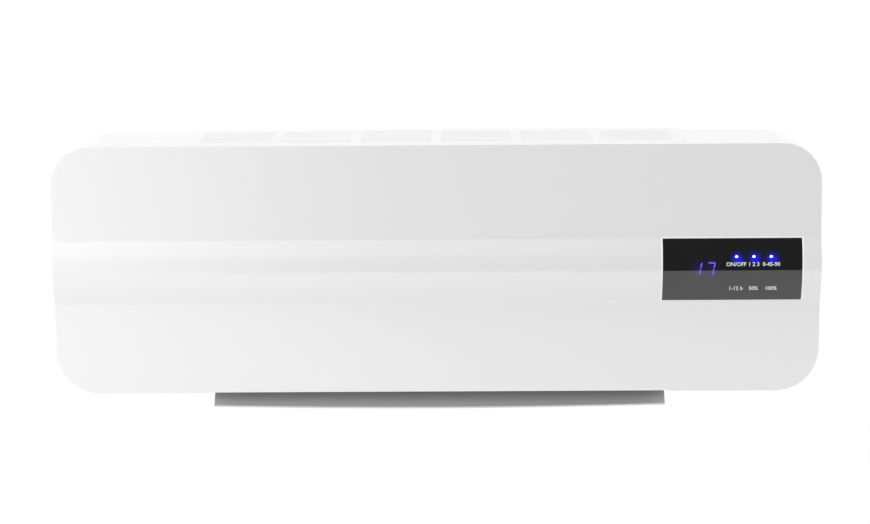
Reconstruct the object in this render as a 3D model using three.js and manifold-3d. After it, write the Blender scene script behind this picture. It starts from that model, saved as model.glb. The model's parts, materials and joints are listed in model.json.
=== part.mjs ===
// A wall fan heater for a bathroom: a wide white casing with a black display window, an air
// inlet on top and a swinging grey louvre below, driven by a cross-flow fan over ceramic elements.
//
// Millimetres. X runs to the right of someone facing the heater, +Z is up and the wall is the
// plane Y = 0, so the front faces -Y. Sections are drawn in (d, z), where d = -Y is the distance
// out from the wall. The origin is the middle of the flat back that lies on the wall.
import * as THREE from "three";
import { mergeVertices } from "three/addons/utils/BufferGeometryUtils.js";
import Module from "manifold-3d";

const wasm = await Module();
wasm.setup();

// ---------------------------------------------------------------- driving dimensions
// Clearances
const seat = 0.3; // between a piece and what it rests on
const turn = 0.2; // radial clearance of a shaft or pin in its bore
const through = 1; // how far a cutting tool runs past the face it cuts

// Casing
const casingWidth = 560;
const casingHeight = 183;
const cornerTop = 28;
const cornerBottom = 31.5;
const casingWall = 2.6;
const rearDepth = 24; // depth of the rear housing, out to the seam
const seamGap = 0.5;
const lipDepth = 3; // how far the rear housing's lip reaches into the front cover
const lipWall = 1.4;

// Front face: how far its crest stands out from the wall, and how far the rest lies behind it
const crestDepth = 113;
const upperTopSetback = 7;
const upperFootSetback = 4.7;
const lowerHeadSetback = 6.8;
const lowerFootSetback = 8.6;
const creaseTop = 22.6; // where the upper panel meets the curved band
const creaseBottom = -24.2; // where the band meets the lower panel
const crestHeight = 2;

// Display
const windowWidth = 100.6;
const windowInset = 14.6; // right edge inside the casing's side
const windowTop = 22.2;
const windowBottom = -22.6;
const windowGap = 0.3;
const windowFlange = 2.2;
const windowFlangeWall = 1.2;
const boardWall = 1.6;
const displayBoardSetback = 15.6; // rear of the display board, behind the crest
const displayBoardMargin = 8; // how far the display board runs past the window
const displayPostRadius = 2.4;
const displayPostInset = 3;
const ledRadius = 1.5;
const ledLength = 5.4;
const ledInset = 53.4; // first lamp from the window's left edge
const ledPitch = 12.6;
const ledsInRow = 3;
const ledUpper = 9.4;
const ledLower = -8.6;
const receiverInset = 12.2; // infrared receiver from the window's left edge
const digitsWidth = 22;
const digitsHeight = 14;
const digitsThickness = 7.2;
const digitsInset = 32.2; // middle of the digits from the window's left edge
const digitsHeightMiddle = 0.9;

// Air path: a cross-flow fan in a scroll that turns the air down through the heater
const frontSpace = 6.3; // between the air path and the inside of the front cover's foot
const fanHeight = 36;
const fanRadius = 29;
const fanEndRoom = 9.4; // fan to the end plate
const fanBlades = 16;
const bladeInnerRadius = 22;
const bladeSweep = 26; // degrees that a blade leans forward from root to tip
const bladeWall = 1.2;
const fanDiscs = 4;
const discWall = 1.6;
const hubRadius = 7;
const hubLength = 12;
const bayWidth = 109.6; // from the casing's side to the inside of the air path
const plateWall = 3;
const ductSheet = 2;
const ductRear = 42; // inside face of the outlet duct's rear wall
const ductStep = 3.5; // duct's front wall, behind the end plates' front edge
const plateTop = 82;
const scrollGap = 3.2; // fan to scroll where the scroll begins
const scrollGrowth = 8.5; // by how much that gap opens to the scroll's end
const scrollFrom = 135; // degrees round the fan from the front, over the top
const scrollTo = 235;
const scrollFlare = 12;
const tongueAngle = -25;
const tongueGap = 3.5;
const tongueRoom = 1.5; // between the tongue's reach and the duct's front wall
const bearingRadius = 8;
const bearingLength = 5;
const bearingCollar = 2;

// Inlet grille and filter, which lift off together
const inletOverlap = 7.6; // how far the inlet runs past the inside of the air path
const inletRear = 8;
const grilleOverhang = 4; // rests in a rebate round the opening
const grilleRebate = 1.4;
const grilleGap = 0.4;
const grilleRearRise = 2.2; // how far the grille stands above the casing at its rear
const skirtDepth = 6;
const skirtWall = 1.6;
const slotWidth = 2.6;
const slotRows = 8;
const slotColumns = 6;
const slotPitch = 8.4;
const slotBar = 8; // bar between two columns of slots
const filterFrame = 3.2;
const filterRib = 1.6;
const filterRibs = 7;
const filterFrameHeight = 3;
const netWall = 0.5;

// Louvre
const louvreSetout = 24; // its pivot, out from the duct's rear wall
const louvreHeight = -83;
const louvreLeftGap = 3;
const louvreRightGap = 0.6;
const louvreOffset = 5.5; // pivot above the middle of the blade
const louvreCrown = 2.4; // extra reach in the middle
const louvreEdgeGap = 0.7; // free edge to the outlet's front edge when closed
const louvreTailGap = 3; // tail to the duct's rear wall when closed
const louvreWall = 2.4;
const louvreSag = 1.6; // hollow of the blade across its width
const louvreTab = 3;
const louvreTabs = 4;
const louvrePin = 2.5;
const louvreShaft = 2;
const louvreOpen = 49.6; // degrees down from closed, as it stands at rest
const bushWall = 1.2;
const bushLength = 5;
const outletRearGap = 2; // outlet opening behind the duct's rear wall
const outletFrontGap = 0.1; // and in front of the end plates
const outletBevel = 1.7; // on the casing's foot in front of the outlet
const outletGap = 0.3; // outlet opening past the duct's inside
const stepperRadius = 12;
const stepperLength = 18;
const stepperOffset = 8; // shaft to the middle of its can
const stepperEar = 18;

// Heater
const heaterTop = -16;
const heaterHeight = 24;
const heaterRail = 2.8;
const heaterEnd = 8;
const heaterEndGap = 4.4;
const barWall = 5;
const finPitch = 7.8;
const finWall = 0.6;
const tabHeight = 6;
const tabWall = 0.8;
const tabRoom = 4; // round the tabs where they pass the end plate
const cutoutX = 60; // thermal cut-out
const tabReach = 7.6; // of a tab past the end plate
const guardTop = -57;
const guardHeight = 4;
const guardWall = 2;
const guardPitch = 16;
const guardRib = 1.4;

// Motor
const shaftRadius = 2.5;
const stackRoom = 28.6; // end plate to the laminations
const stackThickness = 20;
const stackHalf = 24; // half of its depth
const stackAbove = 24; // shaft to the top of the laminations
const stackBelow = 36; // and to their foot
const limbHeight = 6;
const rotorRadius = 12.4;
const airGap = 0.6;
const coilOverhang = 6;
const coilDrop = 8; // coil's foot below the laminations
const coilInset = 8; // and its sides inside theirs
const bracketWall = 1.5;
const bracketStandoff = 4;
const motorScrewDrop = 6; // screws below the top of the laminations
const motorScrewInset = 5;

// Boards, switch and cable entry in the right-hand compartment
const boardDepth = 14;
const boardRoom = 8.6; // end plate to the power board
const boardInset = 10; // power board inside the casing's side
const boardTop = 56;
const boardFoot = -58;
const relayHeight = 15;
const postRadius = 3.2;
const postPin = 1.5;
const postInset = 5;
const switchDepth = 60;
const switchHeight = -30;
const switchHalfHeight = 10.5;
const switchHalfDepth = 7;
const switchBody = 18;
const switchFlange = 1.8;
const switchFlangeWall = 1.4;
const switchFrameWall = 1.7;
const prongLength = 7;
const prongSpread = 6;
const rockerTilt = 10;
const rockerPivotInset = 3.2; // pivot inside the casing's side face
const rockerRise = 1.3; // how far the rocker's ridge stands out of its frame
const glandInset = 45; // cable entry inside the casing's side
const glandDepth = 13;
const glandRadius = 5.8;
const glandBore = 3.6;
const glandFlange = 3;
const glandFlangeWall = 2.4;
const glandNutWall = 4;

// Wiring
const leadRadius = 1.1;
const motorLeadRadius = 1.4;
const ribbonInset = 43; // ribbon cable from the power board's left edge
const ribbonWidth = 12;
const ribbonWall = 0.8;
const ribbonFront = 18; // height of its end on the display board
const ribbonRear = 34; // and on the power board
const connectorHeight = 6;

// Fixings
const bossRadius = 4.6;
const cornerBossInset = 18; // corner screws inside the casing's side
const cornerBossDrop = 21.5; // and inside its top and foot
const screwHead = 3.7;
const screwHeadHeight = 2.4;
const screwShank = 1.8;
const screwLength = 34;
const screwRecess = 3;
const keyholeX = 150;
const keyholeDrop = 25.5; // below the casing's top
const keyholeHead = 5;
const keyholeSlot = 2.6;
const keyholeRise = 11;
const lowerHoleRise = 17.5; // above the casing's foot
const lowerHoleRadius = 2.6;

// ---------------------------------------------------------------- derived places
const halfWidth = casingWidth / 2;
const top = casingHeight / 2;
const foot = -casingHeight / 2;
const cornerBossX = halfWidth - cornerBossInset;
const cornerBossZ = top - cornerBossDrop;
const keyholeZ = top - keyholeDrop;
const lowerHoleZ = foot + lowerHoleRise;
const glandX = halfWidth - glandInset;
const upperTopDepth = crestDepth - upperTopSetback;
const upperFootDepth = crestDepth - upperFootSetback;
const lowerHeadDepth = crestDepth - lowerHeadSetback;
const lowerFootDepth = crestDepth - lowerFootSetback;
const ductHalf = halfWidth - bayWidth;
const plateOuter = ductHalf + plateWall;
const fanHalfLength = ductHalf - fanEndRoom;
const inletHalf = ductHalf + inletOverlap;
const plateFront = lowerFootDepth - casingWall - frontSpace;
const ductFront = plateFront - ductStep;
const fanDepth = ductFront - tongueRoom - tongueGap - fanRadius;
const inletFront = ductFront;
const outletRear = ductRear - outletRearGap;
const outletFront = plateFront + outletFrontGap;
const louvreLeft = -ductHalf + louvreLeftGap;
const louvreRight = ductHalf - louvreRightGap;
const louvreDepth = ductRear + louvreSetout;
const louvreReach = outletFront - louvreEdgeGap - louvreCrown - louvreDepth;
const louvreTail = louvreSetout - louvreTailGap;
const stackInner = -plateOuter - stackRoom;
const stackRear = fanDepth - stackHalf;
const stackFront = fanDepth + stackHalf;
const stackTop = fanHeight + stackAbove;
const stackFoot = fanHeight - stackBelow;
const displayBoardDepth = crestDepth - displayBoardSetback;
const innerTop = top - casingWall;
const innerFoot = foot + casingWall;
const innerSide = halfWidth - casingWall;
const boardLeft = plateOuter + boardRoom;
const boardRight = halfWidth - boardInset;
const windowRight = halfWidth - windowInset;
const windowLeft = windowRight - windowWidth;
const ribbonLeft = boardLeft + ribbonInset;
const displayBoardFace = displayBoardDepth + boardWall;
const boardFace = boardDepth + boardWall;
const grilleSeat = top - grilleRebate + seat; // underside of the grille's plate
const frameTop = grilleSeat - seat;
const ductFoot = louvreHeight - louvreOffset + (louvreWall + louvreSag) / 2 + 2 * seat;
const heaterHalf = ductHalf - heaterEndGap;
const heaterFoot = heaterTop - heaterHeight;
const stackOuter = stackInner - stackThickness;
const heaterMiddle = (heaterTop + heaterFoot) / 2;
const tabEnd = plateOuter + tabReach;
const railInner = ductRear + seat + heaterRail;
const railOuter = ductFront - seat - heaterRail;
const finRowWall = (railOuter - railInner - 2 * barWall) / 3;
const barRear = railInner + finRowWall;
const barFront = barRear + barWall + finRowWall;

// ---------------------------------------------------------------- materials
const finish = (color, roughness, metalness = 0) =>
  new THREE.MeshStandardMaterial({ color, roughness, metalness });
const casingWhite = finish(0xf1f1f2, 0.28);
const insideWhite = finish(0xe6e6e4, 0.5);
const louvreGrey = finish(0x8e8f91, 0.42);
const windowBlack = finish(0x0b0b0d, 0.06);
const darkPlastic = finish(0x1c1c1e, 0.5);
const heatPlastic = finish(0x26211c, 0.6);
const boardGreen = finish(0x1f5a34, 0.45);
const steel = finish(0xb9bcc0, 0.35, 1);
const laminations = finish(0x6d6f73, 0.5, 0.9);
const aluminium = finish(0xc9ccd0, 0.38, 1);
const brass = finish(0xc9a352, 0.35, 1);
const copperWinding = finish(0xb5652f, 0.4, 0.6);
const clearLens = finish(0xdfe6f5, 0.15);
const netGrey = finish(0x9a9c9d, 0.8);
const capacitorYellow = finish(0xd8b12a, 0.5);
const relayBlue = finish(0x1f4f94, 0.45);
const wireBlue = finish(0x2b59a8, 0.5);
const wireBrown = finish(0x6b3e22, 0.5);
const wireWhite = finish(0xd9d8d2, 0.5);
const rubberGrey = finish(0x2d2e30, 0.85);

// ---------------------------------------------------------------- shape helpers
const rad = THREE.MathUtils.degToRad;

/** A three.js geometry as a solid that can be joined and cut. */
function solid(geometry) {
  const bare = geometry.clone();
  bare.deleteAttribute("normal");
  bare.deleteAttribute("uv");
  const merged = mergeVertices(bare, 1e-4);
  return new wasm.Manifold(
    new wasm.Mesh({
      numProp: 3,
      vertProperties: merged.attributes.position.array,
      triVerts: new Uint32Array(merged.index.array),
    }),
  );
}

function geometryOf(shape) {
  const mesh = shape.getMesh();
  const geometry = new THREE.BufferGeometry();
  const positions = new Float32Array(mesh.vertProperties);
  geometry.setAttribute("position", new THREE.BufferAttribute(positions, 3));
  geometry.setIndex(new THREE.BufferAttribute(new Uint32Array(mesh.triVerts), 1));
  geometry.computeVertexNormals();
  return geometry;
}

const join = (shapes) => shapes.reduce((whole, next) => whole.add(next));
const cut = (shape, tools) => tools.reduce((left, tool) => left.subtract(tool), shape);

/** A box between two x, two distances from the wall and two heights. */
function block([x0, x1], [d0, d1], [z0, z1]) {
  const geometry = new THREE.BoxGeometry(x1 - x0, d1 - d0, z1 - z0);
  return solid(geometry.translate((x0 + x1) / 2, -(d0 + d1) / 2, (z0 + z1) / 2));
}

function shapeOf(points) {
  return new THREE.Shape(points.map(([u, v]) => new THREE.Vector2(u, v)));
}

function extrude(shape, depth, curveSegments = 8) {
  return new THREE.ExtrudeGeometry(shape, { depth, bevelEnabled: false, curveSegments });
}

/** A (d, z) section swept from x0 to x1. */
function alongX(section, x0, x1) {
  const shape = Array.isArray(section) ? shapeOf(section) : section;
  const turned = new THREE.Matrix4().makeBasis(
    new THREE.Vector3(0, -1, 0),
    new THREE.Vector3(0, 0, 1),
    new THREE.Vector3(-1, 0, 0),
  );
  return solid(extrude(shape, x1 - x0).applyMatrix4(turned).translate(x1, 0, 0));
}

/** An (x, z) outline swept outwards from the wall, from d0 to d1. */
function outwards(outline, d0, d1) {
  const shape = Array.isArray(outline) ? shapeOf(outline) : outline;
  return solid(extrude(shape, d1 - d0).rotateX(Math.PI / 2).translate(0, -d0, 0));
}

/** An (x, d) outline swept upwards from z0 to z1. */
function upwards(outline, z0, z1) {
  const shape = shapeOf(outline.map(([x, d]) => [x, -d]));
  return solid(extrude(shape, z1 - z0).translate(0, 0, z0));
}

function rodX(d, z, radius, x0, x1, sides = 20) {
  const geometry = new THREE.CylinderGeometry(radius, radius, x1 - x0, sides);
  return solid(geometry.rotateZ(Math.PI / 2).translate((x0 + x1) / 2, -d, z));
}

function rodD(x, z, radius, d0, d1, sides = 20) {
  const geometry = new THREE.CylinderGeometry(radius, radius, d1 - d0, sides);
  return solid(geometry.translate(x, -(d0 + d1) / 2, z));
}

function rodZ(x, d, radius, z0, z1, sides = 20) {
  const geometry = new THREE.CylinderGeometry(radius, radius, z1 - z0, sides);
  return solid(geometry.rotateX(Math.PI / 2).translate(x, -d, (z0 + z1) / 2));
}

/** The casing's outline from the front, drawn in by an inset. */
function casingOutline(inset) {
  const w = halfWidth - inset;
  const [low, high] = [foot + inset, top - inset];
  const [rt, rb] = [cornerTop - inset, cornerBottom - inset];
  const shape = new THREE.Shape();
  shape.moveTo(-w + rb, low);
  shape.lineTo(w - rb, low);
  shape.absarc(w - rb, low + rb, rb, -Math.PI / 2, 0);
  shape.lineTo(w, high - rt);
  shape.absarc(w - rt, high - rt, rt, 0, Math.PI / 2);
  shape.lineTo(-w + rt, high);
  shape.absarc(-w + rt, high - rt, rt, Math.PI / 2, Math.PI);
  shape.lineTo(-w, low + rb);
  shape.absarc(-w + rb, low + rb, rb, Math.PI, 1.5 * Math.PI);
  return shape;
}

/** How far the front face stands out from the wall at a height on the curved band. */
function bandDepth(z) {
  if (z > crestHeight) {
    const share = (z - crestHeight) / (creaseTop - crestHeight);
    return crestDepth - (crestDepth - upperFootDepth) * share ** 2;
  }
  const share = (crestHeight - z) / (crestHeight - creaseBottom);
  return crestDepth - (crestDepth - lowerHeadDepth) * share ** 2;
}

/** Points up the band between two heights, set back from the face. */
function bandPoints(z0, z1, back, steps = 12) {
  return Array.from({ length: steps + 1 }, (_, i) => {
    const z = z0 + ((z1 - z0) * i) / steps;
    return [bandDepth(z) - back, z];
  });
}

/** The casing's side section from a depth out to the front face, set back by a wall. */
function sideSection(fromDepth, back) {
  return [
    [fromDepth, foot],
    [lowerFootDepth - back, foot],
    ...bandPoints(creaseBottom, creaseTop, back),
    [upperTopDepth - back, top],
    [fromDepth, top],
  ];
}

const bothSides = (make) => [-1, 1].map((side) => make(side));

// ---------------------------------------------------------------- casing
const bossPlaces = [
  [-cornerBossX, cornerBossZ],
  [cornerBossX, cornerBossZ],
  [-cornerBossX, -cornerBossZ],
  [cornerBossX, -cornerBossZ],
];

/** The way in for air, with the rebate that the grille lies in. */
function inletOpening() {
  const reach = grilleOverhang + grilleGap;
  return join([
    block([-inletHalf, inletHalf], [inletRear, inletFront], [innerTop - through, top + through]),
    block(
      [-inletHalf - reach, inletHalf + reach],
      [inletRear - reach, inletFront + reach],
      [top - grilleRebate, top + through],
    ),
  ]);
}

function displayPostPlaces() {
  const reach = displayBoardMargin - displayPostInset;
  return [windowLeft - reach, windowRight + reach].flatMap((x) =>
    [windowBottom - reach, windowTop + reach].map((z) => [x, z]),
  );
}

function frontCover() {
  const outline = outwards(casingOutline(0), rearDepth, crestDepth + through);
  const hollow = outwards(casingOutline(casingWall), rearDepth - through, crestDepth);
  const shell = alongX(sideSection(rearDepth, 0), -halfWidth, halfWidth)
    .intersect(outline)
    .subtract(
      alongX(sideSection(rearDepth - through, casingWall), -halfWidth, halfWidth).intersect(hollow),
    );
  const face = alongX(sideSection(rearDepth, casingWall / 2), -halfWidth, halfWidth);
  const bosses = bossPlaces.map(([x, z]) =>
    rodD(x, z, bossRadius, rearDepth, crestDepth, 14).intersect(face),
  );
  const posts = displayPostPlaces().map(([x, z]) =>
    rodD(x, z, displayPostRadius, displayBoardFace + seat, crestDepth, 10).intersect(face),
  );
  const pilots = bossPlaces.map(([x, z]) =>
    rodD(x, z, screwShank + turn, rearDepth - through, rearDepth + screwLength, 10),
  );
  const windowHole = block(
    [windowLeft - windowGap, windowRight + windowGap],
    [displayBoardFace, crestDepth + through],
    [windowBottom - windowGap, windowTop + windowGap],
  );
  const outletHalf = ductHalf + outletGap;
  const outlet = block(
    [-outletHalf, outletHalf],
    [outletRear, outletFront],
    [foot - through, innerFoot + through],
  );
  const bevelSection = [
    [lowerFootDepth - outletBevel, foot],
    [lowerFootDepth, foot + outletBevel],
    [lowerFootDepth + through, foot + outletBevel],
    [lowerFootDepth + through, foot - through],
    [lowerFootDepth - outletBevel, foot - through],
  ];
  const bevel = alongX(bevelSection, -outletHalf, outletHalf);
  const switchHole = block(
    [innerSide - through, halfWidth + through],
    [switchDepth - switchHalfDepth, switchDepth + switchHalfDepth],
    [switchHeight - switchHalfHeight, switchHeight + switchHalfHeight],
  );
  const whole = join([shell, ...bosses, ...posts]);
  return cut(whole, [inletOpening(), windowHole, outlet, bevel, switchHole, ...pilots]);
}

function keyhole(x) {
  return rodD(x, keyholeZ, keyholeHead, -through, casingWall + through, 16).add(
    block(
      [x - keyholeSlot, x + keyholeSlot],
      [-through, casingWall + through],
      [keyholeZ, keyholeZ + keyholeRise],
    ),
  );
}

function boardPostPlaces() {
  return [boardLeft + postInset, boardRight - postInset].flatMap((x) =>
    [boardFoot + postInset, boardTop - postInset].map((z) => [x, z]),
  );
}

function rearHousing() {
  const rim = outwards(casingOutline(0), 0, rearDepth - seamGap).subtract(
    outwards(casingOutline(casingWall), casingWall, rearDepth + through),
  );
  const lipInset = casingWall + seat;
  const lip = outwards(casingOutline(lipInset), casingWall, rearDepth + lipDepth).subtract(
    outwards(casingOutline(lipInset + lipWall), 0, rearDepth + lipDepth + through),
  );
  const lipFoot = outwards(casingOutline(casingWall / 2), casingWall, 2 * casingWall).subtract(
    outwards(casingOutline(lipInset + lipWall), 0, rearDepth),
  );
  const bosses = bossPlaces.map(([x, z]) =>
    rodD(x, z, bossRadius, casingWall / 2, rearDepth - seat, 14),
  );
  const screwHoles = bossPlaces.flatMap(([x, z]) => [
    rodD(x, z, screwShank + turn, -through, rearDepth + through, 10),
    rodD(x, z, screwHead + seat, -through, screwRecess, 14),
  ]);
  const posts = boardPostPlaces().flatMap(([x, z]) => [
    rodD(x, z, postRadius, casingWall / 2, boardDepth - seat, 12),
    rodD(x, z, postPin, casingWall, boardFace + 2, 8),
  ]);
  const inlet = block(
    [-inletHalf, inletHalf],
    [inletRear, inletFront],
    [innerTop - lipInset - lipWall, top + through],
  );
  const gland = rodZ(glandX, glandDepth, glandRadius + seat, foot - through, innerFoot + 2 * lipInset, 18);
  const glandRoom = block(
    [glandX - glandRadius - 2 * glandFlange, glandX + glandRadius + 2 * glandFlange],
    [casingWall + seat, rearDepth + lipDepth + through],
    [innerFoot, innerFoot + 2 * lipInset],
  );
  const lowerHole = rodD(0, lowerHoleZ, lowerHoleRadius, -through, casingWall + through, 14);
  const whole = join([rim, lip, lipFoot, ...bosses, ...posts]);
  const keyholes = bothSides((side) => keyhole(side * keyholeX));
  const holes = [inlet, inletOpening(), gland, glandRoom, lowerHole, ...keyholes, ...screwHoles];
  return cut(whole, holes);
}

/** A pan-head screw along +Y, its head's outer face at the local origin. */
function panScrew(shankLength) {
  const profile = [
    [0, 0],
    [screwHead * 0.8, 0],
    [screwHead, screwHeadHeight * 0.45],
    [screwHead, screwHeadHeight],
    [screwShank, screwHeadHeight],
    [screwShank, shankLength - screwShank],
    [0, shankLength],
  ].map(([r, y]) => new THREE.Vector2(r, y));
  const slot = new THREE.BoxGeometry(2 * screwHead, 1.6, 1);
  return solid(new THREE.LatheGeometry(profile, 12)).subtract(solid(slot));
}

// ---------------------------------------------------------------- display
function displayWindow() {
  const [z0, z1] = [windowBottom, windowTop];
  const lens = [...bandPoints(z0, z1, 0), ...bandPoints(z0, z1, casingWall + 2 * seat).reverse()];
  const [f0, f1] = [creaseBottom, creaseTop];
  const flangeFront = casingWall + seat;
  const flange = [
    ...bandPoints(f0, f1, flangeFront),
    ...bandPoints(f0, f1, flangeFront + windowFlangeWall).reverse(),
  ];
  return join([
    alongX(lens, windowLeft, windowRight),
    alongX(flange, windowLeft - windowFlange, windowRight + windowFlange),
  ]);
}

function displayBoard() {
  const m = displayBoardMargin;
  const board = block(
    [windowLeft - m, windowRight + m],
    [displayBoardDepth, displayBoardFace],
    [windowBottom - m, windowTop + m],
  );
  const holes = displayPostPlaces().map(([x, z]) =>
    rodD(x, z, postPin, displayBoardDepth - through, displayBoardFace + through, 8),
  );
  return cut(board, holes);
}

/** A lens about its own middle, standing out from the display board. */
function ledLens() {
  const profile = [
    [0, 0],
    [ledRadius * 1.2, 0],
    [ledRadius * 1.2, 1],
    [ledRadius, 1],
    [ledRadius, ledLength - ledRadius],
    [ledRadius * 0.7, ledLength - ledRadius * 0.3],
    [0, ledLength],
  ].map(([r, y]) => new THREE.Vector2(r, y));
  return new THREE.LatheGeometry(profile, 10).rotateX(Math.PI);
}

function digitModule() {
  const face = displayBoardFace + seat;
  const x = windowLeft + digitsInset;
  return block(
    [x - digitsWidth / 2, x + digitsWidth / 2],
    [face, face + digitsThickness],
    [digitsHeightMiddle - digitsHeight / 2, digitsHeightMiddle + digitsHeight / 2],
  );
}

function infraredReceiver() {
  const face = displayBoardFace + seat;
  const x = windowLeft + receiverInset;
  const body = block([x - 3, x + 3], [face, face + 3], [-3.5, 3.5]);
  const dome = rodX(0, 0, 2.2, -2.4, 2.4, 12);
  return body.add(dome.translate([x, -face - 3, 0]));
}

// ---------------------------------------------------------------- air path
/** A point round the fan's axis, as (d, z). */
function roundFan(angle, radius) {
  return [fanDepth + radius * Math.cos(rad(angle)), fanHeight + radius * Math.sin(rad(angle))];
}

/** The rear wall of the air path: a spiral behind the fan that runs down into the duct. */
function scrollSection() {
  const steps = 10;
  const spiral = (extra) =>
    Array.from({ length: steps + 1 }, (_, i) => {
      const share = i / steps;
      const radius = fanRadius + scrollGap + scrollGrowth * share + extra;
      return roundFan(scrollFrom + (scrollTo - scrollFrom) * share, radius);
    });
  const [inside, outside] = [spiral(0), spiral(ductSheet)];
  const flare = [inside[0][0] - scrollFlare, plateTop - 2];
  return [
    flare,
    ...inside,
    [ductRear, heaterTop + 4],
    [ductRear, ductFoot],
    [ductRear - ductSheet, ductFoot],
    [ductRear - ductSheet, heaterTop + 4],
    ...outside.reverse(),
    [flare[0] - ductSheet, flare[1]],
  ];
}

function fanDuct() {
  const scroll = alongX(scrollSection(), -ductHalf - through, ductHalf + through);
  const plateSection = [
    [casingWall + seat, innerFoot + 2 * seat + lipWall],
    [rearDepth + lipDepth + seat, innerFoot + 2 * seat + lipWall],
    [rearDepth + lipDepth + seat, innerFoot + seat],
    [plateFront, innerFoot + seat],
    [plateFront, plateTop],
    [casingWall + seat, plateTop],
  ];
  const left = alongX(plateSection, -plateOuter, -ductHalf);
  const right = alongX(plateSection, ductHalf, plateOuter);
  const motorPosts = motorScrewPlaces().map(([d, z]) =>
    rodX(d, z, 3.6, stackInner + seat, -plateOuter + through, 10).subtract(
      rodX(d, z, screwShank + turn, stackInner, -plateOuter - through, 10),
    ),
  );
  const leftPlate = [-plateOuter - through, -ductHalf + through];
  const rightPlate = [ductHalf - through, plateOuter + through];
  const holes = [
    rodX(fanDepth, fanHeight, hubRadius + 2, ...leftPlate),
    rodX(fanDepth, fanHeight, bearingRadius + seat, ...rightPlate),
    rodX(louvreDepth, louvreHeight, louvrePin + bushWall + seat, ...leftPlate, 14),
    rodX(louvreDepth, louvreHeight, louvrePin + 1, ...rightPlate, 14),
    block(
      rightPlate,
      [barRear - tabRoom, barFront + barWall + tabRoom],
      [heaterMiddle - tabHeight / 2 - tabRoom, heaterMiddle + tabHeight / 2 + tabRoom],
    ),
  ];
  return cut(join([scroll, left, right, ...motorPosts]), holes);
}

/** The front wall of the duct, with the lip that splits inlet air from outlet air. */
function vortexTongue() {
  const nose = roundFan(tongueAngle, fanRadius + tongueGap);
  const section = [
    [ductFront, ductFoot],
    [ductFront, 4],
    [nose[0] + 1.6, nose[1] - 5],
    [nose[0], nose[1]],
    [nose[0] + 0.4, nose[1] + 3.4],
    [plateFront - 1.5, 44],
    [plateFront - 1.5, 64],
    [plateFront, 64],
    [plateFront, 42],
    [nose[0] + 4, nose[1] + 2],
    [ductFront + ductSheet, 6],
    [ductFront + ductSheet, ductFoot],
  ];
  return alongX(section, -ductHalf + seat, ductHalf - seat);
}

function fanWheel() {
  const discs = Array.from({ length: fanDiscs }, (_, i) => {
    const middle = -fanHalfLength + discWall / 2;
    const x = middle + ((2 * fanHalfLength - discWall) * i) / (fanDiscs - 1);
    return rodX(0, 0, fanRadius, x - discWall / 2, x + discWall / 2, 2 * fanBlades);
  });
  const steps = 1;
  const edge = (angle) =>
    Array.from({ length: steps + 1 }, (_, i) => {
      const share = i / steps;
      const r = bladeInnerRadius + (fanRadius - 0.4 - bladeInnerRadius) * share;
      const a = rad(angle + bladeSweep * share ** 2);
      return [r * Math.cos(a), r * Math.sin(a)];
    });
  const lean = THREE.MathUtils.radToDeg(bladeWall / fanRadius);
  const blades = Array.from({ length: fanBlades }, (_, i) => {
    const angle = (360 * i) / fanBlades;
    const section = [...edge(angle), ...edge(angle + lean).reverse()];
    return alongX(section, -fanHalfLength, fanHalfLength);
  });
  const hub = rodX(0, 0, hubRadius, -fanHalfLength, -fanHalfLength + hubLength);
  const stub = rodX(0, 0, shaftRadius, fanHalfLength - discWall, plateOuter + 2, 12);
  const boreEnd = -fanHalfLength + hubLength - 1;
  const bore = rodX(0, 0, shaftRadius + turn, -fanHalfLength - through, boreEnd, 12);
  return join([...discs, ...blades, hub, stub]).subtract(bore);
}

function bush(radius, bore, length, flange) {
  const sleeve = rodX(0, 0, radius, 0, length, 20);
  const collar = rodX(0, 0, radius + flange, length - flange, length, 20);
  return sleeve.add(collar).subtract(rodX(0, 0, bore, -through, length + through, 14));
}

// ---------------------------------------------------------------- motor
function motorScrewPlaces() {
  return [stackRear + motorScrewInset, stackFront - motorScrewInset].map((d) => [
    d,
    stackTop - motorScrewDrop,
  ]);
}

function motorStator() {
  const stack = block([stackOuter, stackInner], [stackRear, stackFront], [stackFoot, stackTop]);
  const window = block(
    [stackOuter - through, stackInner + through],
    [stackRear + coilInset - 2, stackFront - coilInset + 2],
    [stackFoot + limbHeight, stackFoot + limbHeight + coilDrop + 1],
  );
  const [x0, x1] = [stackOuter - through, stackInner + through];
  const bore = rodX(fanDepth, fanHeight, rotorRadius + airGap, x0, x1, 28);
  const holes = motorScrewPlaces().map(([d, z]) => rodX(d, z, screwShank + turn, x0, x1, 10));
  return cut(stack, [window, bore, ...holes]);
}

function motorCoil() {
  const winding = block(
    [stackOuter - coilOverhang, stackInner + coilOverhang],
    [stackRear + coilInset, stackFront - coilInset],
    [stackFoot - coilDrop, stackFoot + limbHeight + coilDrop + 1 - seat],
  );
  const limb = block(
    [stackOuter - seat, stackInner + seat],
    [stackRear, stackFront],
    [stackFoot - seat, stackFoot + limbHeight + seat],
  );
  return winding.subtract(limb);
}

/** A strap over the end of the rotor that carries a shaft bearing; it stands off towards +X. */
function motorBracket() {
  const half = stackHalf - 2;
  const strap = block([bracketStandoff, bracketStandoff + bracketWall], [-half, half], [-9, 9]);
  const legs = bothSides((s) =>
    block(
      [seat, bracketStandoff + bracketWall],
      [Math.min(s * half, s * (half - 3)), Math.max(s * half, s * (half - 3))],
      [-9, 9],
    ),
  );
  const bearing = rodX(0, 0, 6, bracketStandoff, bracketStandoff + 5, 16);
  const bore = rodX(0, 0, shaftRadius + turn, -through, bracketStandoff + 6, 14);
  return join([strap, ...legs, bearing]).subtract(bore);
}

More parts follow.
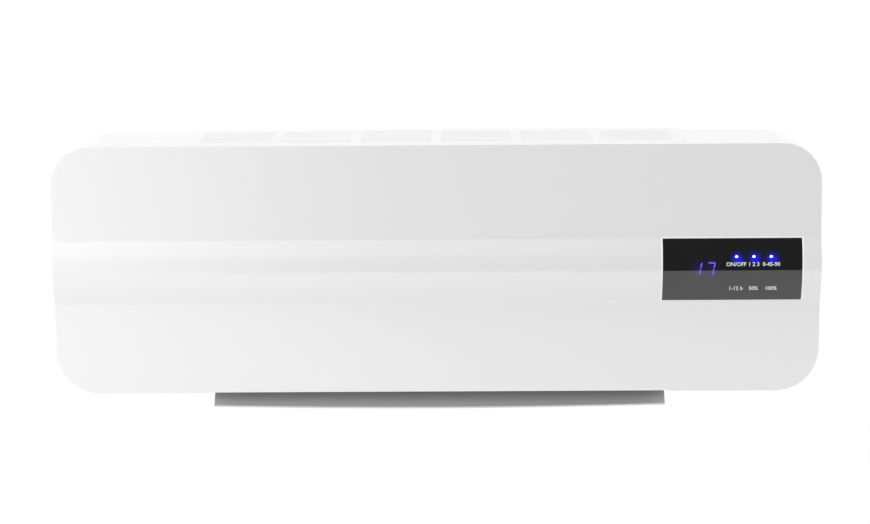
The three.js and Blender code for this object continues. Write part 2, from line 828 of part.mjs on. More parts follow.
// ---------------------------------------------------------------- heater
function heaterFrame() {
  const half = heaterHalf;
  const inside = half - heaterEnd;
  const outer = block([-half, half], [ductRear + seat, ductFront - seat], [heaterFoot, heaterTop]);
  const window = block(
    [-inside, inside],
    [railInner, railOuter],
    [heaterFoot - through, heaterTop + through],
  );
  const tabSlots = [barRear, barFront].map((d) =>
    block(
      [inside - through, half + through],
      [d + barWall / 2 - tabWall / 2 - seat, d + barWall / 2 + tabWall / 2 + seat],
      [heaterMiddle - tabHeight / 2 - seat, heaterMiddle + tabHeight / 2 + seat],
    ),
  );
  return cut(outer, [window, ...tabSlots]);
}

/** A strip of aluminium folded to and fro between two faces. */
function finRow(d0, d1) {
  const inside = heaterHalf - heaterEnd - seat;
  const folds = 2 * Math.floor(inside / finPitch);
  const reach = (d1 - d0) / 2 - seat - finWall;
  const chain = (shift) =>
    Array.from({ length: folds + 1 }, (_, i) => [
      (i - folds / 2) * finPitch,
      (d0 + d1) / 2 + (i % 2 ? reach : -reach) + shift,
    ]);
  const strip = [...chain(-finWall), ...chain(finWall).reverse()];
  return upwards(strip, heaterFoot + 0.5, heaterTop - 0.5);
}

function ceramicBar(d) {
  const inside = heaterHalf - heaterEnd - seat;
  return block([-inside, inside], [d, d + barWall], [heaterFoot + 1, heaterTop - 1]);
}

function heaterTab(d) {
  const [x0, x1] = [heaterHalf - heaterEnd, tabEnd];
  const blade = block(
    [x0, x1],
    [d + barWall / 2 - tabWall / 2, d + barWall / 2 + tabWall / 2],
    [heaterMiddle - tabHeight / 2, heaterMiddle + tabHeight / 2],
  );
  const hole = rodD(x1 - 3, heaterMiddle, 0.9, d, d + barWall, 8);
  return blade.subtract(hole);
}

function thermalCutout() {
  const d = ductFront + ductSheet + seat;
  const base = rodD(cutoutX, heaterMiddle, 8, d, d + 2, 20);
  const cap = rodD(cutoutX, heaterMiddle, 6.4, d, d + 5.6, 20);
  const ears = block([cutoutX - 12, cutoutX + 12], [d, d + 0.8], [heaterMiddle - 3, heaterMiddle + 3]);
  return join([base, cap, ears]);
}

function outletGuard() {
  const half = ductHalf - seat;
  const [rear, front] = [ductRear + seat, ductFront - seat];
  const [z0, z1] = [guardTop - guardHeight, guardTop];
  const middle = (rear + front) / 2;
  const bays = 2 * Math.round(half / guardPitch);
  const pitch = (2 * (half - guardWall) + guardRib) / bays;
  const rows = [
    [rear + guardWall, middle - guardRib / 2],
    [middle + guardRib / 2, front - guardWall],
  ];
  const holes = Array.from({ length: bays }, (_, i) => {
    const x = -half + guardWall + i * pitch;
    return rows.map((row) => block([x, x + pitch - guardRib], row, [z0 - through, z1 + through]));
  });
  return cut(block([-half, half], [rear, front], [z0, z1]), holes.flat());
}

// ---------------------------------------------------------------- louvre
/** The louvre lies closed under its pivot, free edge towards the front, before it is turned. */
function louvreBlade() {
  const steps = 8;
  const across = louvreReach + louvreCrown + louvreTail;
  const face = (lift) =>
    Array.from({ length: steps + 1 }, (_, i) => {
      const share = (2 * i) / steps - 1;
      return [-louvreTail + (across * i) / steps, lift - louvreOffset + louvreSag * (share ** 2 - 0.5)];
    });
  const section = [...face(-louvreWall / 2), ...face(louvreWall / 2).reverse()];
  const middle = (louvreLeft + louvreRight) / 2;
  const half = (louvreRight - louvreLeft) / 2;
  const edge = Array.from({ length: 17 }, (_, i) => {
    const share = i / 8 - 1;
    return [middle + half * share, louvreReach + louvreCrown * (1 - share ** 2)];
  });
  const plan = [...edge.reverse(), [louvreLeft, -louvreTail], [louvreRight, -louvreTail]];
  const blade = alongX(section, louvreLeft, louvreRight).intersect(
    upwards(plan, -3 * louvreOffset, louvreOffset),
  );
  const tabs = Array.from({ length: louvreTabs }, (_, i) => {
    const x = louvreLeft + ((2 * half - louvreTab) * i) / (louvreTabs - 1);
    const radius = louvrePin + 1.5;
    const web = block([x, x + louvreTab], [-radius, radius], [-louvreOffset, 0]);
    return web.add(rodX(0, 0, radius, x, x + louvreTab, 14));
  });
  const pin = rodX(0, 0, louvrePin, -plateOuter - 2, louvreLeft + 1, 12);
  const socket = rodX(0, 0, louvreShaft + turn, louvreRight - louvreTab - through, louvreRight + through, 12);
  return join([blade, ...tabs, pin]).subtract(socket);
}

function louvreMotor() {
  const x0 = plateOuter + seat;
  const height = louvreHeight + stepperOffset;
  const can = rodX(louvreDepth, height, stepperRadius, x0, x0 + stepperLength, 24);
  const ears = block(
    [x0, x0 + 1],
    [louvreDepth - stepperEar, louvreDepth + stepperEar],
    [height - 3.5, height + 3.5],
  );
  const cap = block(
    [x0 + 4, x0 + stepperLength - 3],
    [louvreDepth - 7, louvreDepth + 7],
    [height, height + stepperRadius + 3],
  );
  const bore = rodX(louvreDepth, louvreHeight, louvreShaft + turn, x0 - through, x0 + 8, 12);
  const holes = bothSides((s) =>
    rodX(louvreDepth + s * (stepperEar - 3), height, 1.6, x0 - through, x0 + 2, 8),
  );
  return cut(join([can, ears, cap]), [bore, ...holes]);
}

// ---------------------------------------------------------------- inlet grille and filter
function intakeGrille() {
  const [rear, front] = [inletRear - grilleOverhang, inletFront + grilleOverhang];
  const half = inletHalf + grilleOverhang;
  const section = [
    [rear, grilleSeat],
    [front, grilleSeat],
    [front, top],
    [rear + 1.5, top + grilleRearRise],
    [rear, top + grilleRearRise - 1],
  ];
  const plate = alongX(section, -half, half);
  const [skirtHalf, skirtRear, skirtFront] = [inletHalf - seat, inletRear + seat, inletFront - seat];
  const skirt = block(
    [-skirtHalf, skirtHalf],
    [skirtRear, skirtFront],
    [grilleSeat - skirtDepth, grilleSeat + seat],
  ).subtract(
    block(
      [-skirtHalf + skirtWall, skirtHalf - skirtWall],
      [skirtRear + skirtWall, skirtFront - skirtWall],
      [grilleSeat - skirtDepth - through, grilleSeat],
    ),
  );
  const columnPitch = (2 * inletHalf) / slotColumns;
  const slots = Array.from({ length: slotRows * slotColumns }, (_, i) => {
    const x = (Math.floor(i / slotRows) - (slotColumns - 1) / 2) * columnPitch;
    const d = (inletRear + inletFront) / 2 + ((i % slotRows) - (slotRows - 1) / 2) * slotPitch;
    return block(
      [x - (columnPitch - slotBar) / 2, x + (columnPitch - slotBar) / 2],
      [d - slotWidth / 2, d + slotWidth / 2],
      [grilleSeat - through, top + 2 * grilleRearRise],
    );
  });
  return plate.add(skirt).subtract(join(slots));
}

const filterHalf = inletHalf - 2 * seat - skirtWall;
const filterRear = inletRear + 2 * seat + skirtWall;
const filterFront = inletFront - 2 * seat - skirtWall;

function filterTray() {
  const [z0, z1] = [frameTop - filterFrameHeight, frameTop];
  const inside = filterHalf - filterFrame;
  const pitch = (2 * inside + filterRib) / (filterRibs + 1);
  const holes = Array.from({ length: filterRibs + 1 }, (_, i) =>
    block(
      [-inside + i * pitch, -inside + (i + 1) * pitch - filterRib],
      [filterRear + filterFrame, filterFront - filterFrame],
      [z0 - through, z1 + through],
    ),
  );
  return cut(block([-filterHalf, filterHalf], [filterRear, filterFront], [z0, z1]), holes);
}

function filterNet() {
  const z1 = frameTop - filterFrameHeight - seat;
  return block(
    [-filterHalf + 1, filterHalf - 1],
    [filterRear + 1, filterFront - 1],
    [z1 - netWall, z1],
  );
}

// ---------------------------------------------------------------- right-hand compartment
function powerBoard() {
  const board = block([boardLeft, boardRight], [boardDepth, boardFace], [boardFoot, boardTop]);
  const connector = block(
    [ribbonLeft - 2, ribbonLeft + ribbonWidth + 2],
    [boardDepth + boardWall / 2, boardFace + seat + connectorHeight],
    [ribbonRear - 3, ribbonRear + 3],
  );
  const holes = boardPostPlaces().map(([x, z]) =>
    rodD(x, z, postPin + turn, boardDepth - through, boardFace + through, 10),
  );
  return cut(board.add(connector), holes);
}

/** A box above the power board, placed from the board's left edge, its face and its lower edge. */
function overBoard([x0, x1], [h0, h1], [z0, z1]) {
  return block(
    [boardLeft + x0, boardLeft + x1],
    [boardFace + h0, boardFace + h1],
    [boardFoot + z0, boardFoot + z1],
  );
}

/** A plain box component standing on the power board. */
function onBoard(width, height, length) {
  return overBoard(width, [seat, seat + height], length);
}

function transformer() {
  const core = onBoard([36, 58], 16, [22, 44]);
  const window = overBoard([35, 59], [4, 13], [27, 39]);
  const winding = overBoard([37.5, 56.5], [3, 14], [27.4, 38.6]);
  const foot = onBoard([40, 54], 6, [25, 41]);
  return core.subtract(window).add(winding).add(foot);
}

const terminalWells = [15.5, 24, 32.5].map((x) => boardLeft + x);
const terminalHeight = boardFoot + 7;
const terminalFloor = boardFace + 8;

function terminalBlock() {
  const body = onBoard([11, 37], 13, [2, 12]);
  const wells = terminalWells.map((x) => rodD(x, terminalHeight, 2.4, terminalFloor, boardFace + 20, 10));
  return cut(body, wells);
}

function switchHousing() {
  const [zc, dc] = [switchHeight, switchDepth];
  const [hz, hd] = [switchHalfHeight, switchHalfDepth];
  const flange = block(
    [halfWidth + seat, halfWidth + seat + switchFlangeWall],
    [dc - hd - switchFlange, dc + hd + switchFlange],
    [zc - hz - switchFlange, zc + hz + switchFlange],
  );
  const body = block(
    [halfWidth - switchBody, halfWidth + seat + switchFlangeWall],
    [dc - hd + seat, dc + hd - seat],
    [zc - hz + seat, zc + hz - seat],
  );
  const pocket = block(
    [halfWidth - 9, halfWidth + 2 * switchFlangeWall],
    [dc - hd + switchFrameWall, dc + hd - switchFrameWall],
    [zc - hz + switchFrameWall, zc + hz - switchFrameWall],
  );
  const prongs = [-prongSpread, prongSpread].map((z) =>
    block(
      [halfWidth - switchBody - prongLength, halfWidth - switchBody + 1],
      [dc - 0.4, dc + 0.4],
      [zc + z - 2.4, zc + z + 2.4],
    ),
  );
  return join([flange.add(body).subtract(pocket), ...prongs]);
}

/** The rocker about its pivot, its face a shallow ridge along the middle. */
function switchRocker() {
  const half = switchHalfHeight - switchFrameWall - 0.5;
  const rim = rockerPivotInset + seat + switchFlangeWall;
  const outline = [
    [0, 0],
    [rim - 1.4, -half + 0.9],
    [rim - 0.2, -half + 1.1],
    [rim + rockerRise, 0],
    [rim - 0.2, half - 1.1],
    [rim - 1.4, half - 0.9],
  ];
  const depth = 2 * (switchHalfDepth - switchFrameWall - seat);
  return outwards(outline, -depth / 2, depth / 2);
}

function cableGland() {
  const round = (radius, z0, z1, sides) => rodZ(glandX, glandDepth, radius, z0, z1, sides);
  const r = glandRadius;
  const [under, nutFoot] = [foot - seat - glandFlangeWall, innerFoot + seat];
  const flange = round(r + glandFlange, under, foot - seat, 24);
  const nut = round(r + glandFlange - 0.4, nutFoot, nutFoot + glandNutWall, 6);
  const barrel = round(r, under, innerFoot + 2 * glandNutWall, 20);
  const bore = round(glandBore, foot - 10, innerFoot + 20, 14);
  return join([flange, nut, barrel]).subtract(bore);
}

/** A round wire along a smooth route of (x, d, z) points. */
function wire(points, radius) {
  const route = new THREE.CatmullRomCurve3(
    points.map(([x, d, z]) => new THREE.Vector3(x, -d, z)),
    false,
    "centripetal",
  );
  const section = new THREE.Shape();
  section.absarc(0, 0, radius, 0, 2 * Math.PI);
  return new THREE.ExtrudeGeometry(section, {
    extrudePath: route,
    steps: 4 * (points.length - 1),
    curveSegments: 3,
    bevelEnabled: false,
  });
}

/** The flat cable from the display board back to its connector on the power board. */
function displayCable() {
  const connector = boardFace + seat + connectorHeight;
  const route = new THREE.SplineCurve(
    [
      [displayBoardDepth - seat, ribbonFront],
      [displayBoardDepth - 12, ribbonFront + 1],
      [(displayBoardDepth + connector) / 2, ribbonFront - 6],
      [connector + 12, ribbonRear - 1],
      [connector + seat, ribbonRear],
    ].map(([d, z]) => new THREE.Vector2(d, z)),
  );
  const edge = (shift) => route.getPoints(14).map((point) => [point.x, point.y + shift]);
  const section = [...edge(-ribbonWall / 2), ...edge(ribbonWall / 2).reverse()];
  return alongX(section, ribbonLeft, ribbonLeft + ribbonWidth);
}

// ---------------------------------------------------------------- assembly
const heater = new THREE.Group();
heater.name = "wall_fan_heater";

function place(name, shape, material, group = heater) {
  const geometry = shape.isBufferGeometry ? shape : geometryOf(shape);
  const mesh = new THREE.Mesh(geometry, material);
  mesh.name = name;
  group.add(mesh);
  return mesh;
}

place("front_cover", frontCover(), casingWhite);
place("rear_housing", rearHousing(), casingWhite);
bossPlaces.forEach(([x, z], i) => {
  const screw = place(`case_screw_${i + 1}`, panScrew(screwLength), steel);
  screw.rotation.x = Math.PI;
  screw.position.set(x, -(screwRecess - screwHeadHeight - seat), z);
});

place("display_window", displayWindow(), windowBlack);
place("display_board", displayBoard(), boardGreen);
place("digit_module", digitModule(), windowBlack);
place("infrared_receiver", infraredReceiver(), darkPlastic);
[ledUpper, ledLower].forEach((height, row) => {
  for (let i = 0; i < ledsInRow; i += 1) {
    const lens = place(`led_${row ? "lower" : "upper"}_${i + 1}`, ledLens(), clearLens);
    lens.position.set(windowLeft + ledInset + i * ledPitch, -(displayBoardFace + seat), height);
  }
});

place("fan_duct", fanDuct(), insideWhite);
place("vortex_tongue", vortexTongue(), insideWhite);
place("heater_frame", heaterFrame(), heatPlastic);
place("fin_row_rear", finRow(railInner, barRear), aluminium);
place("fin_row_middle", finRow(barRear + barWall, barFront), aluminium);
place("fin_row_front", finRow(barFront + barWall, railOuter), aluminium);
place("ceramic_bar_rear", ceramicBar(barRear), aluminium);
place("ceramic_bar_front", ceramicBar(barFront), aluminium);
place("heater_tab_rear", heaterTab(barRear), brass);
place("heater_tab_front", heaterTab(barFront), brass);
place("thermal_cutout", thermalCutout(), darkPlastic);
place("outlet_guard", outletGuard(), darkPlastic);

const fan = new THREE.Group();
fan.position.set(0, -fanDepth, fanHeight);
heater.add(fan);
place("fan_wheel", fanWheel(), darkPlastic, fan);
const shaftEnds = [stackOuter - 14, -fanHalfLength + hubLength - 2];
place("motor_shaft", rodX(0, 0, shaftRadius, ...shaftEnds, 14), steel, fan);
place(
  "motor_rotor",
  rodX(0, 0, rotorRadius, stackOuter, stackInner, 28).subtract(
    rodX(0, 0, shaftRadius + turn, stackOuter - through, stackInner + through, 14),
  ),
  laminations,
  fan,
);
const bearingShape = bush(bearingRadius, shaftRadius + turn, bearingLength, bearingCollar);
const fanBearing = place("fan_bearing", bearingShape, rubberGrey);
fanBearing.position.set(ductHalf + seat, -fanDepth, fanHeight);

place("motor_stator", motorStator(), laminations);
place("motor_coil", motorCoil(), copperWinding);
const innerBracket = place("motor_bracket_inner", motorBracket(), steel);
innerBracket.position.set(stackInner, -fanDepth, fanHeight);
const outerBracket = place("motor_bracket_outer", motorBracket(), steel);
outerBracket.rotation.z = Math.PI;
outerBracket.position.set(stackOuter, -fanDepth, fanHeight);
motorScrewPlaces().forEach(([d, z], i) => {
  const screw = place(`motor_screw_${i + 1}`, panScrew(screwLength), steel);
  screw.rotation.z = -Math.PI / 2;
  screw.position.set(stackOuter - seat - screwHeadHeight, -d, z);
});

const louvre = new THREE.Group();
louvre.position.set(0, -louvreDepth, louvreHeight);
louvre.rotation.x = rad(louvreOpen);
heater.add(louvre);
place("louvre_blade", louvreBlade(), louvreGrey, louvre);
place("louvre_shaft", rodX(0, 0, louvreShaft, louvreRight - louvreTab, plateOuter + 7, 12), steel, louvre);
place("louvre_motor", louvreMotor(), steel);
const bushShape = bush(louvrePin + bushWall, louvrePin + turn, bushLength, bushWall);
const louvreBush = place("louvre_bush", bushShape, darkPlastic);
louvreBush.rotation.z = Math.PI;
louvreBush.position.set(-ductHalf - seat, -louvreDepth, louvreHeight);

place("intake_grille", intakeGrille(), casingWhite);
place("filter_tray", filterTray(), darkPlastic);
place("filter_net", filterNet(), netGrey);

place("power_board", powerBoard(), boardGreen);
place("terminal_block", terminalBlock(), boardGreen);
place("relay_low", onBoard([8, 27], relayHeight, [18, 33]), relayBlue);
place("relay_high", onBoard([8, 27], relayHeight, [38, 53]), relayBlue);
place("mains_capacitor", onBoard([41, 67], 18, [4, 14]), capacitorYellow);
place("transformer", transformer(), capacitorYellow);
const capacitorX = boardLeft + 70;
const capacitorZ = boardFoot + 58;
const capacitor = rodD(capacitorX, capacitorZ, 5, boardFace + seat, boardFace + seat + 16, 16);
place("smoothing_capacitor", capacitor, darkPlastic);

place("switch_housing", switchHousing(), darkPlastic);
const rocker = place("switch_rocker", switchRocker(), darkPlastic);
rocker.position.set(halfWidth - rockerPivotInset, -switchDepth, switchHeight);
rocker.rotation.y = rad(rockerTilt);
place("cable_gland", cableGland(), rubberGrey);

const relayFace = boardFace + seat + relayHeight + seat;
const tabMiddle = barWall / 2;
const relayX = boardLeft + 17.5;
const leadDepth = plateFront + 3.5; // of the motor lead, inside the front cover
const leadHeight = -62;
const prongEnd = halfWidth - switchBody - prongLength;
const rearLead = [
  [tabEnd + seat, barRear + tabMiddle, heaterMiddle],
  [tabEnd + 7, barRear + 1.6, heaterMiddle - 0.5],
  [relayX - 2.5, 48, heaterMiddle - 3],
  [relayX, 38, boardFoot + 25.5],
  [relayX, relayFace, boardFoot + 25.5],
];
const frontLead = [
  [tabEnd + seat, barFront + tabMiddle, heaterMiddle],
  [tabEnd + 9, barFront + 1.4, heaterMiddle + 1],
  [relayX + 1.5, 58, heaterMiddle + 10],
  [relayX + 3.5, 40, boardFoot + 45],
  [relayX + 3.5, relayFace, boardFoot + 45.5],
];
const motorLead = [
  [stackInner - stackThickness / 2, fanDepth, stackFoot - coilDrop - seat],
  [stackInner - stackThickness / 2 + 1, fanDepth + 3, stackFoot - 30],
  [stackInner - 2, 82, leadHeight + 6],
  [stackInner + 16, leadDepth - 2, leadHeight + 1],
  [-plateOuter + 13.4, leadDepth, leadHeight],
  [-60, leadDepth, leadHeight],
  [60, leadDepth, leadHeight],
  [plateOuter - 13.4, leadDepth, leadHeight + 1],
  [boardLeft - 2, leadDepth - 2.5, leadHeight + 6],
  [boardLeft + 13, 82, terminalHeight],
  [terminalWells[1] - 1, 60, terminalHeight + 2],
  [terminalWells[1], 40, terminalHeight],
  [terminalWells[1], terminalFloor + seat, terminalHeight],
];
const switchLead = [
  [prongEnd - seat, switchDepth, switchHeight - prongSpread],
  [prongEnd - 13, switchDepth - 3, switchHeight - 7],
  [terminalWells[2] + 11.5, 48, terminalHeight + 7],
  [terminalWells[2] + 1.5, 38, terminalHeight + 1],
  [terminalWells[2], terminalFloor + seat, terminalHeight],
];
place("heater_lead_rear", wire(rearLead, leadRadius), wireWhite);
place("heater_lead_front", wire(frontLead, leadRadius), wireWhite);
place("motor_lead", wire(motorLead, motorLeadRadius), wireBlue);
place("switch_lead", wire(switchLead, leadRadius), wireBrown);
place("display_cable", displayCable(), wireWhite);

export default heater;
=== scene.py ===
import json
import math

import bmesh
import bpy
from mathutils import Matrix, Vector


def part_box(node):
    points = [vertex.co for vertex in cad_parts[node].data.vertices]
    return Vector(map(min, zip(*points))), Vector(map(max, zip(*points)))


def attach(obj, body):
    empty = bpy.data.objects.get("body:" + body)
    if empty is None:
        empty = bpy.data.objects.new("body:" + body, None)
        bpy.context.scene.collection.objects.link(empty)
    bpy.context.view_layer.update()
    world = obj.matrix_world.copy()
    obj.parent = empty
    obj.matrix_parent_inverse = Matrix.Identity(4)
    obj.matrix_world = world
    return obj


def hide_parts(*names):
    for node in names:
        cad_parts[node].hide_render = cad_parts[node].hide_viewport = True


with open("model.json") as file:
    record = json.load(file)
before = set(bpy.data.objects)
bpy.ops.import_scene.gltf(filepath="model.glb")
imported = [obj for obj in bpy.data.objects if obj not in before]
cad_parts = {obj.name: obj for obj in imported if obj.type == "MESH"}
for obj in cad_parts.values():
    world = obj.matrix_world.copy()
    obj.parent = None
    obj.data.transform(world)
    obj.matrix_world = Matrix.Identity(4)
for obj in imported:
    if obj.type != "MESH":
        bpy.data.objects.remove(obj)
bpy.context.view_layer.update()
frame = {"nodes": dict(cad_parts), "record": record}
scene = bpy.context.scene
mm = 0.001
print("frame loaded:", len(frame["nodes"]), "nodes")

# camera, fitted to the casing's edges in the photograph for an assumed width and distance
cameraFit = {
    "place": (0.0178, -1.8, 0.2631),
    "pitch": 0.150679,  # radians below the horizon
    "yaw": -0.011112,
    "roll": -0.00729,
    "lens": 97.06,
    "sensor": 36,
}


def addCamera(fit):
    data = bpy.data.cameras.new("photoCamera")
    data.lens = fit["lens"]
    data.sensor_width = fit["sensor"]
    data.sensor_fit = "HORIZONTAL"
    camera = bpy.data.objects.new("photoCamera", data)
    scene.collection.objects.link(camera)
    turn = Matrix.Rotation(-fit["yaw"], 3, "Z") @ Matrix.Rotation(math.pi / 2 - fit["pitch"], 3, "X")
    camera.rotation_euler = (turn @ Matrix.Rotation(fit["roll"], 3, "Z")).to_euler()
    camera.location = fit["place"]
    scene.camera = camera


addCamera(cameraFit)
scene.view_settings.view_transform = "Standard"


# ---- shader groups
def newGroup(name, inputs, outputs):
    group = bpy.data.node_groups.new(name, "ShaderNodeTree")
    for label, kind, value in inputs:
        socket = group.interface.new_socket(label, in_out="INPUT", socket_type="NodeSocket" + kind)
        socket.default_value = value
    for label, kind in outputs:
        group.interface.new_socket(label, in_out="OUTPUT", socket_type="NodeSocket" + kind)
    return group, group.nodes.new("NodeGroupInput"), group.nodes.new("NodeGroupOutput")


def addNode(tree, kind, values=None, **settings):
    node = tree.nodes.new("ShaderNode" + kind)
    for key, value in settings.items():
        setattr(node, key, value)
    for key, value in (values or {}).items():
        if isinstance(value, bpy.types.NodeSocket):
            tree.links.new(value, node.inputs[key])
        else:
            node.inputs[key].default_value = value
    return node


def calc(tree, operation, first, second=0.0, third=0.0):
    return addNode(tree, "Math", {0: first, 1: second, 2: third}, operation=operation).outputs[0]


def mixColors(tree, share, first, second, blend="MIX"):
    node = addNode(tree, "Mix", {0: share, 6: first, 7: second}, data_type="RGBA", blend_type=blend)
    return node.outputs[2]


def gray(value):
    return (value, value, value, 1)


def makeGrain():
    # moulded plastic: a fine skin, slow flow marks, and a little dust on what faces up
    group, given, result = newGroup(
        "mouldedGrain",
        [
            ("Color", "Color", gray(0.8)),
            ("Grain", "Float", 2500.0),
            ("Marks", "Float", 30.0),
            ("Variation", "Float", 0.03),
            ("Roughness", "Float", 0.4),
            ("Spread", "Float", 0.06),
            ("Dust", "Float", 0.0),
        ],
        [("Color", "Color"), ("Roughness", "Float"), ("Height", "Float")],
    )
    place = addNode(group, "TexCoord").outputs["Object"]
    fine = addNode(group, "TexNoise", {"Vector": place, "Scale": given.outputs["Grain"], "Detail": 3.0})
    slow = addNode(group, "TexNoise", {"Vector": place, "Scale": given.outputs["Marks"], "Detail": 4.0})
    swing = calc(group, "SUBTRACT", slow.outputs[0], 0.5)
    shade = calc(group, "MULTIPLY_ADD", swing, given.outputs["Variation"], 1.0)
    tint = addNode(group, "CombineColor", {0: shade, 1: shade, 2: shade}).outputs[0]
    tinted = mixColors(group, 1.0, given.outputs["Color"], tint, "MULTIPLY")
    up = addNode(group, "SeparateXYZ", {0: addNode(group, "NewGeometry").outputs["Normal"]}).outputs[2]
    lying = addNode(group, "MapRange", {0: up, 1: 0.55, 2: 0.98, 3: 0.0, 4: 1.0}).outputs[0]
    speck = addNode(group, "TexNoise", {"Vector": place, "Scale": 420.0, "Detail": 6.0, "Roughness": 0.7})
    speckled = addNode(group, "MapRange", {0: speck.outputs[0], 1: 0.42, 2: 0.75, 3: 0.15, 4: 1.0}).outputs[0]
    dust = calc(group, "MULTIPLY", calc(group, "MULTIPLY", lying, speckled), given.outputs["Dust"])
    dusty = mixColors(group, dust, tinted, (0.52, 0.5, 0.47, 1))
    rough = calc(group, "MULTIPLY_ADD", swing, given.outputs["Spread"], given.outputs["Roughness"])
    rougher = calc(group, "MULTIPLY_ADD", dust, 0.4, rough)
    group.links.new(dusty, result.inputs["Color"])
    group.links.new(rougher, result.inputs["Roughness"])
    group.links.new(fine.outputs[0], result.inputs["Height"])
    return group


def makeBrushed():
    # metal drawn or rolled along one axis: stretched scratches and a faint cloud of tarnish
    group, given, result = newGroup(
        "brushedMetal",
        [
            ("Color", "Color", gray(0.6)),
            ("Tarnish", "Color", gray(0.3)),
            ("Stretch", "Vector", (1.0, 1.0, 1.0)),
            ("Amount", "Float", 0.3),
            ("Roughness", "Float", 0.35),
            ("Spread", "Float", 0.2),
        ],
        [("Color", "Color"), ("Roughness", "Float"), ("Height", "Float")],
    )
    place = addNode(group, "TexCoord").outputs["Object"]
    drawn = addNode(group, "VectorMath", {0: place, 1: given.outputs["Stretch"]}, operation="MULTIPLY")
    lines = addNode(group, "TexNoise", {"Vector": drawn.outputs[0], "Scale": 1500.0, "Detail": 4.0}).outputs[0]
    cloud = addNode(group, "TexNoise", {"Vector": place, "Scale": 90.0, "Detail": 5.0}).outputs[0]
    clouded = addNode(group, "MapRange", {0: cloud, 1: 0.4, 2: 0.7, 3: 0.0, 4: 1.0}).outputs[0]
    share = calc(group, "MULTIPLY", clouded, given.outputs["Amount"])
    tone = mixColors(group, share, given.outputs["Color"], given.outputs["Tarnish"])
    swing = calc(group, "SUBTRACT", lines, 0.5)
    rough = calc(group, "MULTIPLY_ADD", swing, given.outputs["Spread"], given.outputs["Roughness"])
    group.links.new(tone, result.inputs["Color"])
    group.links.new(calc(group, "MULTIPLY_ADD", share, 0.3, rough), result.inputs["Roughness"])
    group.links.new(lines, result.inputs["Height"])
    return group


def makeGlow():
    # light that spreads in the window round a lamp behind it
    group, given, result = newGroup(
        "lampGlow",
        [
            ("Centre", "Vector", (0.0, 0.0, 0.0)),
            ("Radius", "Float", 0.003),
            ("Squeeze", "Float", 1.0),
            ("Fullness", "Float", 1.0),
        ],
        [("Glow", "Float")],
    )
    place = addNode(group, "TexCoord").outputs["Object"]
    apart = addNode(group, "VectorMath", {0: place, 1: given.outputs["Centre"]}, operation="SUBTRACT")
    parts = addNode(group, "SeparateXYZ", {0: apart.outputs[0]})
    across = calc(group, "MULTIPLY", parts.outputs[0], given.outputs["Squeeze"])
    upward = calc(group, "MULTIPLY", parts.outputs[2], parts.outputs[2])
    square = calc(group, "ADD", calc(group, "MULTIPLY", across, across), upward)
    radius = calc(group, "MULTIPLY", given.outputs["Radius"], given.outputs["Radius"])
    fall = calc(group, "EXPONENT", calc(group, "MULTIPLY", calc(group, "DIVIDE", square, radius), -1.0))
    full = calc(group, "MINIMUM", calc(group, "MULTIPLY", fall, given.outputs["Fullness"]), 1.0)
    group.links.new(full, result.inputs["Glow"])
    return group


groups = {"grain": makeGrain(), "brushed": makeBrushed(), "glow": makeGlow()}


def newMaterial(name, **sockets):
    material = bpy.data.materials.new(name)
    material.use_nodes = True
    shader = material.node_tree.nodes["Principled BSDF"]
    for label, value in sockets.items():
        shader.inputs[label.replace("_", " ")].default_value = value
    return material, material.node_tree, shader


def addBump(tree, shader, height, distance, strength=1.0):
    bump = addNode(tree, "Bump", {"Height": height, "Distance": distance, "Strength": strength})
    tree.links.new(bump.outputs[0], shader.inputs["Normal"])
    return bump


def plastic(name, look):
    material, tree, shader = newMaterial(name, IOR=look.get("ior", 1.46))
    shader.inputs["Coat Weight"].default_value = look.get("coat", 0.0)
    shader.inputs["Coat Roughness"].default_value = 0.08
    grain = addNode(tree, "Group", node_tree=groups["grain"])
    grain.inputs["Color"].default_value = (*look["color"], 1)
    for label, key, fallback in (
        ("Grain", "grain", 2500.0),
        ("Marks", "marks", 30.0),
        ("Variation", "variation", 0.03),
        ("Roughness", "roughness", 0.4),
        ("Spread", "spread", 0.06),
        ("Dust", "dust", 0.0),
    ):
        grain.inputs[label].default_value = look.get(key, fallback)
    tree.links.new(grain.outputs["Color"], shader.inputs["Base Color"])
    tree.links.new(grain.outputs["Roughness"], shader.inputs["Roughness"])
    addBump(tree, shader, grain.outputs["Height"], look.get("bump", 0.00002))
    return material


def metal(name, look):
    material, tree, shader = newMaterial(name, Metallic=1.0)
    brushed = addNode(tree, "Group", node_tree=groups["brushed"])
    brushed.inputs["Color"].default_value = (*look["color"], 1)
    brushed.inputs["Tarnish"].default_value = (*look["tarnish"], 1)
    brushed.inputs["Stretch"].default_value = look.get("stretch", (1, 1, 1))
    brushed.inputs["Amount"].default_value = look.get("amount", 0.3)
    brushed.inputs["Roughness"].default_value = look["roughness"]
    brushed.inputs["Spread"].default_value = look.get("spread", 0.15)
    tree.links.new(brushed.outputs["Color"], shader.inputs["Base Color"])
    tree.links.new(brushed.outputs["Roughness"], shader.inputs["Roughness"])
    addBump(tree, shader, brushed.outputs["Height"], look.get("bump", 0.00001))
    return material


def louvreGreyPaintedShade(look):
    # the blade is painted darker towards its pins, as in the photograph: painted shade from the casing over it
    material = plastic("louvre_grey", look)
    tree = material.node_tree
    shader = tree.nodes["Principled BSDF"]
    height = addNode(tree, "SeparateXYZ", {0: addNode(tree, "TexCoord").outputs["Object"]}).outputs[2]
    dark, bright = look["fade"]
    level = addNode(tree, "MapRange", {0: height, 1: dark, 2: bright, 3: look["darkest"], 4: 1.0}).outputs[0]
    shade = addNode(tree, "CombineColor", {0: level, 1: level, 2: level}).outputs[0]
    plain = shader.inputs["Base Color"].links[0].from_socket
    tree.links.new(mixColors(tree, 1.0, plain, shade, "MULTIPLY"), shader.inputs["Base Color"])
    return material


